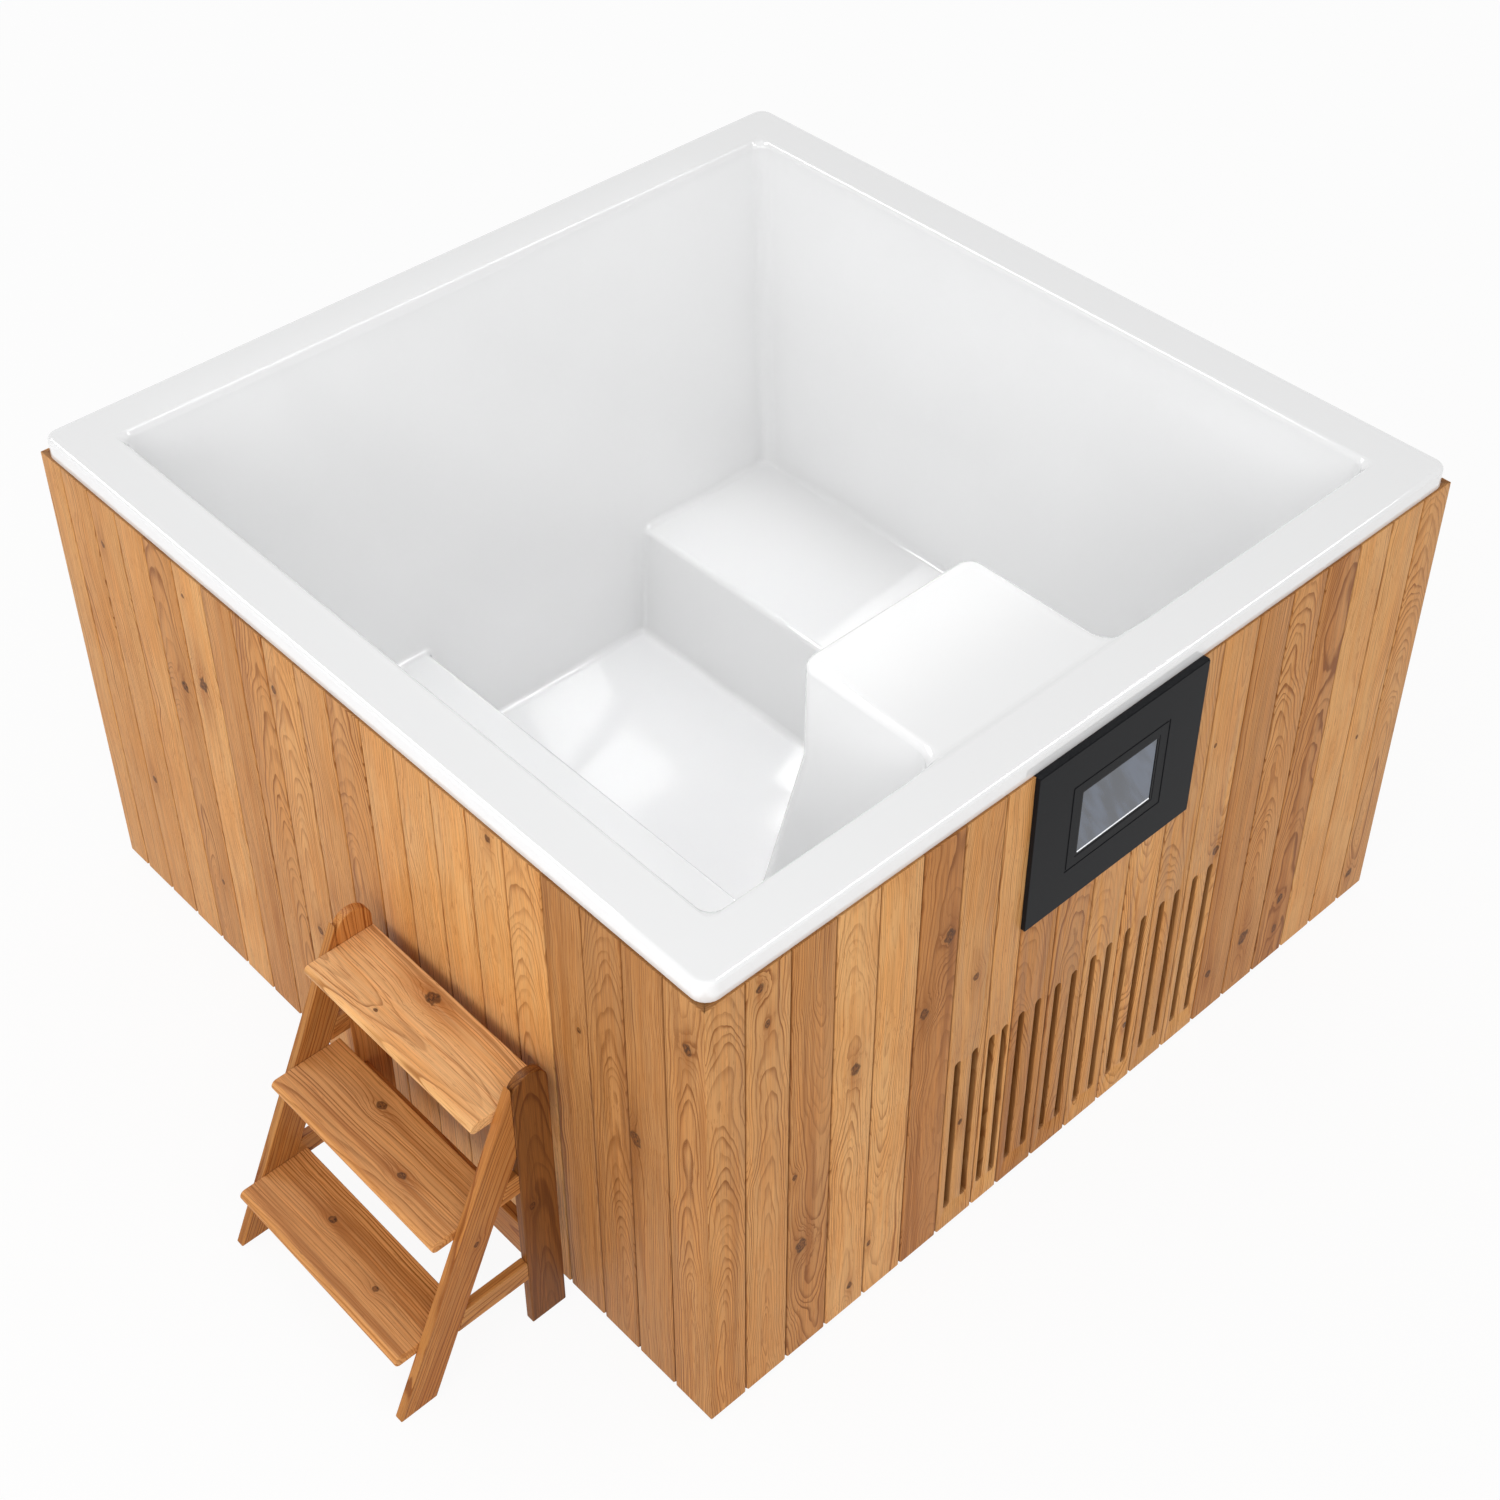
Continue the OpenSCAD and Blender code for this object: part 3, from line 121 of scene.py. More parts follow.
class PanelSettings(bpy.types.PropertyGroup):
    edge: length("Edge", "Rounding of the panel's edges", 0.0008)
    groove: length("Groove", "Depth of the stepped line round the screen", 0.001)
    corner: length("Corner", "Rounding of the panel's corners seen from the front", 0.0015)
    body: colour("Panel", "Colour of the panel's coating", (0.0095, 0.0100, 0.0115))
    glass: colour("Glass", "Colour of the dark screen", (0.036, 0.049, 0.076))
    # The light strip is a painted highlight that glows, for the glint along the glass's lower edge
    strip: colour("Painted highlight strip", "Colour of the strip along the screen's lower edge", (0.85, 0.87, 0.90))


class StudioSettings(bpy.types.PropertyGroup):
    floor: colour("Floor", "Colour of floor and backdrop", (0.86, 0.86, 0.86))
    sky: FloatProperty(name="Sky", description="Strength of the soft light from all round", default=0.76,
                       min=0.0)
    top: power("Top lamp", "Power of the gridded lamp over the basin", 0.86)
    fill: power("Fill lamp", "Power of the large lamp behind the camera", 36.0)
    side: power("Side lamp", "Power of the lamp on the camera's left", 52.0)
    strip: power("Strip lamps", "Power per square metre of the highlight lamps", 28.0)
    patch: power("Patch lamp", "Power of the small lamp that the footwell's floor mirrors", 2.8)


# ---------------------------------------------------------------- meshes

BEVEL_LAYER = "bevel_weight_edge"


def unit(value):
    """The value held between 0 and 1."""
    return min(max(value, 0), 1)


def eased(t):
    """0 to 1 with a soft start and end."""
    return t * t * (3 - 2 * t)


def close_mesh(bm, name):
    """Turns a bmesh into a mesh and frees it."""
    mesh = bpy.data.meshes.new(name)
    bm.to_mesh(mesh)
    bm.free()
    return mesh


def close_solid(bm, name):
    """The same for closed forms, with their faces turned outward."""
    bmesh.ops.recalc_face_normals(bm, faces=bm.faces)
    return close_mesh(bm, name)


@contextmanager
def edited(mesh):
    """A bmesh of the mesh, which is written back to it at the end."""
    bm = bmesh.new()
    bm.from_mesh(mesh)
    yield bm
    bm.to_mesh(mesh)
    bm.free()


def put(name, mesh, material=None):
    obj = bpy.data.objects.new(name, mesh)
    bpy.context.collection.objects.link(obj)
    if material:
        mesh.materials.clear()
        mesh.materials.append(material)
    return obj


def piece(name, mesh, material, body, slot, *nodes):
    """A finished piece: rides on its body and stands for its CAD nodes; the slot is not used."""
    obj = put(name, mesh, material)
    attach(obj, body)
    if nodes:
        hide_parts(*nodes)
    return obj


def with_modifiers(mesh, *steps):
    """The mesh after a list of (type, settings) modifiers, with the helper object removed again."""
    obj = put("workpiece", mesh)
    for kind, values in steps:
        mod = obj.modifiers.new(kind.lower(), kind)
        for key, value in values.items():
            setattr(mod, key, value)
    done = bpy.data.meshes.new_from_object(obj.evaluated_get(bpy.context.evaluated_depsgraph_get()))
    bpy.data.objects.remove(obj)
    return done


def carve(mesh, cutter, solver="MANIFOLD"):
    """The mesh minus the cutter."""
    tool = put("cutter", cutter)
    done = with_modifiers(mesh, ("BOOLEAN", {"operation": "DIFFERENCE", "solver": solver, "object": tool}))
    bpy.data.objects.remove(tool)
    return done


def join_meshes(meshes, name):
    objs = [put("part", mesh) for mesh in meshes]
    with bpy.context.temp_override(active_object=objs[0], selected_editable_objects=objs, object=objs[0]):
        bpy.ops.object.join()
    joined = objs[0].data
    joined.name = name
    bpy.data.objects.remove(objs[0], do_unlink=True)
    return joined


def smooth(mesh, angle):
    """Smooth shading, with edges sharper than the angle in degrees kept crisp."""
    with edited(mesh) as bm:
        for f in bm.faces:
            f.smooth = True
        for e in bm.edges:
            e.smooth = len(e.link_faces) == 2 and e.calc_face_angle(0) < math.radians(angle)
    return mesh


def weighted(mesh):
    """Normals that follow the large faces, so flat areas stay flat next to rounded edges."""
    return with_modifiers(mesh, ("WEIGHTED_NORMAL", {"weight": 80, "keep_sharp": True}))


def turn(e):
    """Angle between an edge's two faces in degrees: positive where it sticks out, negative in a hollow."""
    return math.degrees(e.calc_face_angle_signed(0)) if len(e.link_faces) == 2 else 0.0


def bevelled(mesh, width_of, segments):
    """Rounds each edge by width_of(one end, other end, turn), in mm and degrees, which gives metres."""
    with edited(mesh) as bm:
        widths = [width_of(e.verts[0].co / MM, e.verts[1].co / MM, turn(e)) for e in bm.edges]
        most = max(widths)
        layer = bm.edges.layers.float.new(BEVEL_LAYER)
        for e, w in zip(bm.edges, widths):
            e[layer] = w / most
    done = with_modifiers(mesh, ("BEVEL", {
        "limit_method": "WEIGHT", "width": most, "segments": segments, "offset_type": "OFFSET",
        "use_clamp_overlap": False, "loop_slide": True, "miter_outer": "MITER_SHARP"}))
    if BEVEL_LAYER in done.attributes:
        done.attributes.remove(done.attributes[BEVEL_LAYER])
    return done


def rounded(mesh, width, segments=3):
    """Rounds every real edge of a small solid and shades it softly."""
    real_edge, crisp = 25, 40
    mesh = bevelled(mesh, lambda a, b, angle: width if abs(angle) > real_edge else 0.0, segments)
    return weighted(smooth(mesh, crisp))


def skin(bm, rings):
    """Side faces between neighbouring rings of points."""
    n = len(rings[0])
    for a, b in zip(rings, rings[1:]):
        for i in range(n):
            j = (i + 1) % n
            bm.faces.new((a[i], a[j], b[j], b[i]))


def extrude(bm, outline, place):
    """Closed prism of an outline; place(u, v, end) gives a point in mm, end 0 or 1."""
    rings = [[bm.verts.new(Vector(place(u, v, end)) * MM) for u, v in outline] for end in (0, 1)]
    bm.faces.new(rings[0][::-1])
    bm.faces.new(rings[1])
    skin(bm, rings)


def prisms(name, outlines, place):
    bm = bmesh.new()
    for outline in outlines:
        extrude(bm, outline, place)
    return close_solid(bm, name)


def plank(outline, place, t):
    """A plank cut to an outline; place(a, b, d) gives a point in mm, d from 0 to the thickness t."""
    return prisms("plank", [outline], lambda a, b, end: place(a, b, end * t))


def arc(x, z, r, start, steps, span=math.pi):
    """Points round (x, z) with radius r, from the start angle on."""
    return [(x + r * math.cos(start + span * k / steps), z + r * math.sin(start + span * k / steps))
            for k in range(steps + 1)]


# ---------------------------------------------------------------- basin

# In mm: half widths of the rim, the mouth and the walls' foot, then heights above the ground
RIM = 795
OPEN = 704
FOOT_X, FOOT_Y = 666, 638
MOUTH_Z, TOP_Z, LIP_Z = 942, 954, 918.5
BENCH_Z, FLOOR_Z, FLARE_Z = 248, 30, 760
# Front edges of bench and step, and how far their risers lean out at the foot
BENCH_X, STEP_X = 328, -216
RISER_LEAN, STEP_LEAN = 44, 39.6
# Block: its sides, its back face, and the slope of all three below FLARE_Z
BLOCK_X0, BLOCK_X1, BLOCK_Y = -277, 84, -422
BLOCK_TAN = 112 / 730
# Fittings: drain in the bench's riser, suction and jet in the block's back face
DRAIN_Y, DRAIN_Z, DRAIN_R = -300, 78, 20.2
SUCTION_AT, SUCTION_R = (84, 114.06), 24.2
JET_AT, JET_R = (-53.18, 485.1), 29.2
# Footwell's end walls: extra lean at the floor, softness and arch of its start, margin at the sides
END_LEAN, END_SOFT, END_ARCH, END_MARGIN = 15.3, 22, 150, 12
# Where those walls are and end, and the cuts that let them bend
END_CUT_Y, END_Y, END_TOP = 560, 520, 460
END_LEVELS, END_LEVELS_FRONT, END_SPACING = range(170, 440, 15), 9, 34
# Cuts along which the block's top drops below the rim. Then how far the drop reaches beside the block, the
# width over which it fades there, the cuts beside it, and the height over which it fades downwards
CREASE_Y = (-716, -712.5, -709, -705, -701, -697.5, -694)
CREASE_SIDE, CREASE_FADE, CREASE_CUT, CREASE_LOW = 68, 50, 33, 150
# An edge that turns by fewer degrees isn't one, and the ends of a level edge differ less in height
REAL_EDGE, LEVEL = 40, 1.5


def wall_at(foot, z):
    """How far a wall stands from the middle at a height, for its distance at the foot."""
    return foot + (OPEN - foot) * (z - BENCH_Z) / (MOUTH_Z - BENCH_Z)


def block_spread(z):
    return max(0, FLARE_Z - z) * BLOCK_TAN


def basin_corners():
    """Corner points of the shell's water side before any edge is rounded, in mm."""
    p = {}

    def block_side(side, x):
        p["root_top_" + side] = (x, -wall_at(FOOT_Y, TOP_Z), TOP_Z)
        p["back_top_" + side] = (x, BLOCK_Y, TOP_Z)
        p["root_kink_" + side] = (x, -wall_at(FOOT_Y, FLARE_Z), FLARE_Z)
        p["back_kink_" + side] = (x, BLOCK_Y, FLARE_Z)

    for i, (sx, sy) in enumerate(((-1, -1), (1, -1), (1, 1), (-1, 1))):
        p[f"lip{i}"] = (sx * RIM, sy * RIM, LIP_Z)
        p[f"rim{i}"] = (sx * RIM, sy * RIM, TOP_Z)
        p[f"mouth{i}"] = (sx * wall_at(FOOT_X, TOP_Z), sy * wall_at(FOOT_Y, TOP_Z), TOP_Z)
        p[f"wall{i}"] = (sx * FOOT_X, sy * FOOT_Y, BENCH_Z)
    mid, low, end = block_spread(BENCH_Z), block_spread(FLOOR_Z), wall_at(FOOT_Y, FLOOR_Z)
    block_side("l", BLOCK_X0)
    p["root_bench"] = (BLOCK_X0 - mid, -FOOT_Y, BENCH_Z)
    p["back_bench"] = (BLOCK_X0 - mid, BLOCK_Y + mid, BENCH_Z)
    block_side("r", BLOCK_X1)
    p["step_block"] = (STEP_X, BLOCK_Y + mid, BENCH_Z)
    p["step_back"] = (STEP_X, FOOT_Y, BENCH_Z)
    p["bench_front"] = (BENCH_X, -FOOT_Y, BENCH_Z)
    p["bench_back"] = (BENCH_X, FOOT_Y, BENCH_Z)
    p["floor_step_block"] = (STEP_X + STEP_LEAN, BLOCK_Y + low, FLOOR_Z)
    p["floor_block_back"] = (BLOCK_X1 + low, BLOCK_Y + low, FLOOR_Z)
    p["floor_block_front"] = (BLOCK_X1 + low, -end, FLOOR_Z)
    p["floor_bench_front"] = (BENCH_X - RISER_LEAN, -end, FLOOR_Z)
    p["floor_bench_back"] = (BENCH_X - RISER_LEAN, end, FLOOR_Z)
    p["floor_step_back"] = (STEP_X + STEP_LEAN, end, FLOOR_Z)
    return p


BASIN_FACES = (
    # Lip and rim
    *[(f"lip{i}", f"lip{(i + 1) % 4}", f"rim{(i + 1) % 4}", f"rim{i}") for i in range(4)],
    *[(f"rim{i}", f"rim{(i + 1) % 4}", f"mouth{(i + 1) % 4}", f"mouth{i}") for i in (1, 2, 3)],
    ("rim0", "rim1", "mouth1", "root_top_r", "root_top_l", "mouth0"),
    # Block
    ("root_top_l", "root_top_r", "back_top_r", "back_top_l"),
    ("root_top_l", "back_top_l", "back_kink_l", "root_kink_l"),
    ("back_top_l", "back_top_r", "back_kink_r", "back_kink_l"),
    ("back_top_r", "root_top_r", "root_kink_r", "back_kink_r"),
    ("root_kink_l", "back_kink_l", "back_bench", "root_bench"),
    ("back_kink_l", "back_kink_r", "floor_block_back", "floor_step_block", "step_block", "back_bench"),
    ("back_kink_r", "root_kink_r", "floor_block_front", "floor_block_back"),
    # Walls
    ("mouth0", "root_top_l", "root_kink_l", "root_bench", "wall0"),
    ("root_top_r", "mouth1", "wall1", "bench_front", "floor_bench_front", "floor_block_front", "root_kink_r"),
    ("mouth1", "mouth2", "wall2", "wall1"),
    ("mouth2", "mouth3", "wall3", "step_back", "floor_step_back", "floor_bench_back", "bench_back", "wall2"),
    ("mouth3", "mouth0", "wall0", "wall3"),
    # Bench, step and footwell
    ("wall1", "wall2", "bench_back", "bench_front"),
    ("wall3", "wall0", "root_bench", "back_bench", "step_block", "step_back"),
    ("step_block", "floor_step_block", "floor_step_back", "step_back"),
    ("bench_front", "bench_back", "floor_bench_back", "floor_bench_front"),
    ("floor_step_block", "floor_block_back", "floor_block_front", "floor_bench_front", "floor_bench_back",
     "floor_step_back"),
)


def basin_cage():
    bm = bmesh.new()
    points = {name: bm.verts.new(Vector(co) * MM) for name, co in basin_corners().items()}
    for names in BASIN_FACES:
        bm.faces.new([points[n] for n in names])
    bmesh.ops.recalc_face_normals(bm, faces=bm.faces)
    bm.normal_update()
    if max(bm.faces, key=lambda f: f.calc_center_median().z).normal.z < 0:
        bmesh.ops.reverse_faces(bm, faces=bm.faces)
    return close_mesh(bm, "basin")


def first_width(s, a, b, angle):
    """Upright edges from rim to bench, the block's edges, and the sharp front edges of bench and step."""
    mid = (a + b) / 2
    if abs(angle) < REAL_EDGE:
        return 0.0
    if abs(a.z - b.z) < LEVEL:
        return s.bench_edge if abs(mid.z - BENCH_Z) < 1 and angle > 0 else 0.0
    if abs(mid.x) > RIM - 1:
        return s.rim_corner
    if abs(mid.x) > FOOT_X - 1:
        return s.wall_corner
    # The ends of the risers wait for the second pass
    if mid.x > BENCH_X - RISER_LEAN or mid.y > 0 or (mid.x < STEP_X + STEP_LEAN + 1 and mid.z < BENCH_Z):
        return 0.0
    return s.block_root if mid.y < -FOOT_Y + 20 else s.block_corner


def second_width(s, a, b, angle):
    """The hollow line that runs round the step or the bench and down both ends of its riser."""
    high = max(a.z, b.z)
    return s.floor_edge if angle <= -REAL_EDGE and FLOOR_Z + 1 <= high <= BENCH_Z + 2 else 0.0


def third_width(s, a, b, angle):
    """Closed loops: the rim's outer edge, the mouth with the block's top, the footwell's floor."""
    if abs(angle) < REAL_EDGE or abs(a.z - b.z) > LEVEL:
        return 0.0
    if a.z > TOP_Z - 1:
        return s.rim_edge if max(abs(a.x), abs(a.y)) > RIM - s.rim_corner / MM - 2 else s.mouth_edge
    return s.floor_edge if a.z < FLOOR_Z + 1 else 0.0


def cut_lines(bm, near, places, normal):
    """Adds edges across the faces for which near(face) is true, so they can bend."""
    for co in places:
        geom = {g for f in bm.faces if near(f) for g in (f, *f.edges, *f.verts)}
        bmesh.ops.bisect_plane(bm, geom=list(geom), plane_co=co, plane_no=normal)


def lean_ends(bm):
    """Leans the footwell's end walls more than the walls above, at the back below a line that arches up."""
    def end_wall(side):
        return lambda f: side * f.calc_center_median().y > END_CUT_Y * MM and abs(f.normal.y) > 0.9

    levels = [(0, 0, z * MM) for z in END_LEVELS]
    uprights = [(x * MM, 0, 0) for x in range(STEP_X, BENCH_X + 2, END_SPACING)]
    cut_lines(bm, end_wall(1), levels, Z)
    cut_lines(bm, end_wall(1), uprights, X)
    cut_lines(bm, end_wall(-1), levels[:END_LEVELS_FRONT], Z)
    middle, half = (STEP_X + BENCH_X) / 2, (BENCH_X - STEP_X) / 2
    for v in bm.verts:
        x, y, z = v.co / MM
        if abs(y) < END_Y or z > END_TOP or (y < 0 and x < BLOCK_X1):
            continue
        arch = END_ARCH * max(0.0, 1 - ((x - middle) / half) ** 2) if y > 0 else 0
        line = BENCH_Z + arch
        t = (math.hypot(line - z, END_SOFT) + line - z) / 2 / (line - FLOOR_Z)
        inside = unit((x - STEP_X + END_MARGIN) / END_MARGIN) * unit((BENCH_X + END_MARGIN - x) / END_MARGIN)
        v.co.y -= math.copysign(END_LEAN * min(t, 1.0) * inside * MM, y)


def drop_block_top(bm, s):
    """Lowers the block's top below the rim, with a soft crease at the rim."""
    start, end, left, right = (c * MM for c in (CREASE_Y[0], CREASE_Y[-1], BLOCK_X0, BLOCK_X1))
    beside = CREASE_CUT * MM
    cut_lines(bm, lambda f: f.normal.z > 0.2 and f.calc_center_median().z > (MOUTH_Z - 12) * MM,
              [(0, y * MM, 0) for y in CREASE_Y], Y)
    cut_lines(bm, lambda f: f.normal.z > 0.9 and f.calc_center_median().z > (TOP_Z - 1) * MM
              and start - MM < f.calc_center_median().y < end + MM,
              [(x, 0, 0) for x in (left - beside, left, right, right + beside)], X)
    for v in bm.verts:
        x, y, z = v.co
        if z < FLARE_Z * MM:
            continue
        side = unit((min(x - left, right - x) + CREASE_SIDE * MM) / (CREASE_FADE * MM))
        drop = eased(unit((y - start) / (end - start))) * eased(side)
        v.co.z -= s.block_drop * drop * min(1, (z - FLARE_Z * MM) / (CREASE_LOW * MM))


def fitting_frame(x, z):
    """Place and outward turn of a fitting on the block's slanted back face, in mm."""
    at = Vector((x, BLOCK_Y + block_spread(z), z)) * MM
    return Matrix.Translation(at) @ Euler((math.atan(BLOCK_TAN) - math.pi / 2, 0, 0)).to_matrix().to_4x4()


def fitting_cutters():
    """Round holes for the drain in the bench's riser, and for suction and jet in the block's back face."""
    bm = bmesh.new()
    riser_x = BENCH_X - RISER_LEAN * (1 - (DRAIN_Z - FLOOR_Z) / (BENCH_Z - FLOOR_Z))
    riser = Matrix.Translation(Vector((riser_x, DRAIN_Y, DRAIN_Z)) * MM)
    riser = riser @ Matrix.Rotation(math.pi / 2, 4, "Y")
    for place, radius in ((riser, DRAIN_R), (fitting_frame(*SUCTION_AT), SUCTION_R),
                          (fitting_frame(*JET_AT), JET_R)):
        bmesh.ops.create_cone(bm, cap_ends=True, segments=64, radius1=radius * MM, radius2=radius * MM,
                              depth=0.05, matrix=place)
    return close_solid(bm, "fitting_cutters")


def basin_mesh(s):
    mesh = basin_cage()
    for width, segments in ((first_width, 6), (second_width, 5), (third_width, 5)):
        mesh = bevelled(mesh, lambda *edge: width(s, *edge), segments)
    with edited(mesh) as bm:
        lean_ends(bm)
        drop_block_top(bm, s)
    mesh = with_modifiers(mesh, ("SOLIDIFY", {"thickness": s.shell_t, "offset": -1.0,
                                              "use_even_offset": True}))
    return weighted(smooth(carve(mesh, fitting_cutters(), "EXACT"), 40))


# ---------------------------------------------------------------- finishes


def times(tint, factor):
    return tuple(c * factor for c in tint)


class Nodes:
    """A node tree under construction."""

    def __init__(self, tree):
        self.tree = tree

    def feed(self, socket, value):
        """Links a socket or sets a value; a colour of three numbers gets its fourth."""
        if isinstance(value, bpy.types.NodeSocket):
            self.tree.links.new(value, socket)
        elif value is not None:
            socket.default_value = (*value, 1.0) if socket.type == "RGBA" and len(value) == 3 else value

    def node(self, kind, settings=None, **inputs):
        made = self.tree.nodes.new(kind)
        for key, value in (settings or {}).items():
            setattr(made, key, value)
        for key, value in inputs.items():
            self.feed(made.inputs[key.replace("_", " ")], value)
        return made

    def math(self, operation, a, b=None, c=None, clamp=False):
        made = self.node("ShaderNodeMath", {"operation": operation, "use_clamp": clamp})
        for i, value in enumerate((a, b, c)):
            self.feed(made.inputs[i], value)
        return made.outputs[0]

    def mul(self, a, b, clamp=False):
        return self.math("MULTIPLY", a, b, clamp=clamp)

    def add(self, a, b):
        return self.math("ADD", a, b)

    def sub(self, a, b):
        return self.math("SUBTRACT", a, b)

    def div(self, a, b):
        return self.math("DIVIDE", a, b)

    def most(self, a, b):
        return self.math("MAXIMUM", a, b)

    def vector(self, operation, a, b=None, scale=None):
        made = self.node("ShaderNodeVectorMath", {"operation": operation})
        for key, value in ((0, a), (1, b), ("Scale", scale)):
            if value is not None:
                self.feed(made.inputs[key], value)
        return made.outputs["Vector"]

    def ramp(self, value, low, high, out_low=0.0, out_high=1.0):
        made = self.node("ShaderNodeMapRange", {"interpolation_type": "SMOOTHSTEP"}, Value=value,
                         From_Min=low, From_Max=high, To_Min=out_low, To_Max=out_high)
        return made.outputs["Result"]

    def mix(self, share, a, b, blend="MIX"):
        made = self.node("ShaderNodeMix", {"data_type": "RGBA", "blend_type": blend})
        for i, value in ((0, share), (6, a), (7, b)):
            self.feed(made.inputs[i], value)
        return made.outputs[2]

    def spread(self, share, tint, reach):
        """Between a darker and a paler shade of the tint."""
        return self.mix(share, times(tint, 1 - reach), tuple(min(1.0, c) for c in times(tint, 1 + reach)))

    def noise(self, vector, scale=1.0, detail=2.0, rough=0.5, distort=0.0, out="Factor"):
        made = self.node("ShaderNodeTexNoise", None, Vector=vector, Scale=scale, Detail=detail,
                         Roughness=rough, Distortion=distort)
        return made.outputs[0 if out == "Factor" else 1]

    def attribute(self, name):
        return self.node("ShaderNodeAttribute", {"attribute_name": name}).outputs["Vector"]

    def place(self):
        return self.node("ShaderNodeTexCoord").outputs["Object"]

    def split(self, vector):
        return self.node("ShaderNodeSeparateXYZ", Vector=vector).outputs

    def join(self, x, y, z):
        return self.node("ShaderNodeCombineXYZ", X=x, Y=y, Z=z).outputs[0]

    def length_of(self, x, y):
        return self.math("SQRT", self.math("MULTIPLY_ADD", x, x, self.mul(y, y)))

    def bell(self, value):
        return self.math("EXPONENT", self.mul(self.mul(value, value), -1.0))

    def background_rays(self):
        """1 for what the camera, mirrors and glass see of floor and world, 0 for the light they give."""
        path = self.node("ShaderNodeLightPath").outputs
        mirrored = self.most(path["Is Glossy Ray"], path["Is Transmission Ray"])
        return self.most(path["Is Camera Ray"], mirrored)


class Finish(Nodes):
    """A node material under construction."""

    def __init__(self, name):
        self.material = bpy.data.materials.new(name)
        self.material.use_nodes = True
        super().__init__(self.material.node_tree)
        self.shader = self.tree.nodes["Principled BSDF"]

    def bump(self, height, distance, strength):
        made = self.node("ShaderNodeBump", None, Height=height, Distance=distance, Strength=strength)
        self.feed(self.shader.inputs["Normal"], made.outputs[0])

    def surface(self, **inputs):
        for key, value in inputs.items():
            self.feed(self.shader.inputs[key.replace("_", " ")], value)
        return self.material


def acrylic_finish(s):
    f = Finish("white_acrylic")
    at = f.place()
    base = f.mix(f.ramp(f.noise(at, 3.0), 0.3, 0.7), times(s.acrylic, 0.985), s.acrylic)
    x, y, z = f.split(at)
    # Painted shade: the block's top, like all of the top, is tinted greyer than the walls
    top_shade_mask = f.ramp(z, (TOP_Z - 30) * MM, (TOP_Z - 10) * MM)
    base = f.mix(top_shade_mask, base, times(s.acrylic, 1 - s.block_painted_shade))
    # Painted shade: the rim is tinted greyer than the walls
    outward = f.most(f.math("ABSOLUTE", x), f.math("ABSOLUTE", y))
    rim_shade_mask = f.ramp(outward, (OPEN - 4) * MM, (OPEN + 6) * MM)
    base = f.mix(rim_shade_mask, base, times(s.acrylic, 1 - s.rim_painted_shade))
    f.bump(f.noise(at, 7.0, 1.0), 0.0004, 0.25)
    return f.surface(Base_Color=base, Roughness=s.gloss, IOR=1.49, Coat_Weight=0.8, Coat_Roughness=0.03)


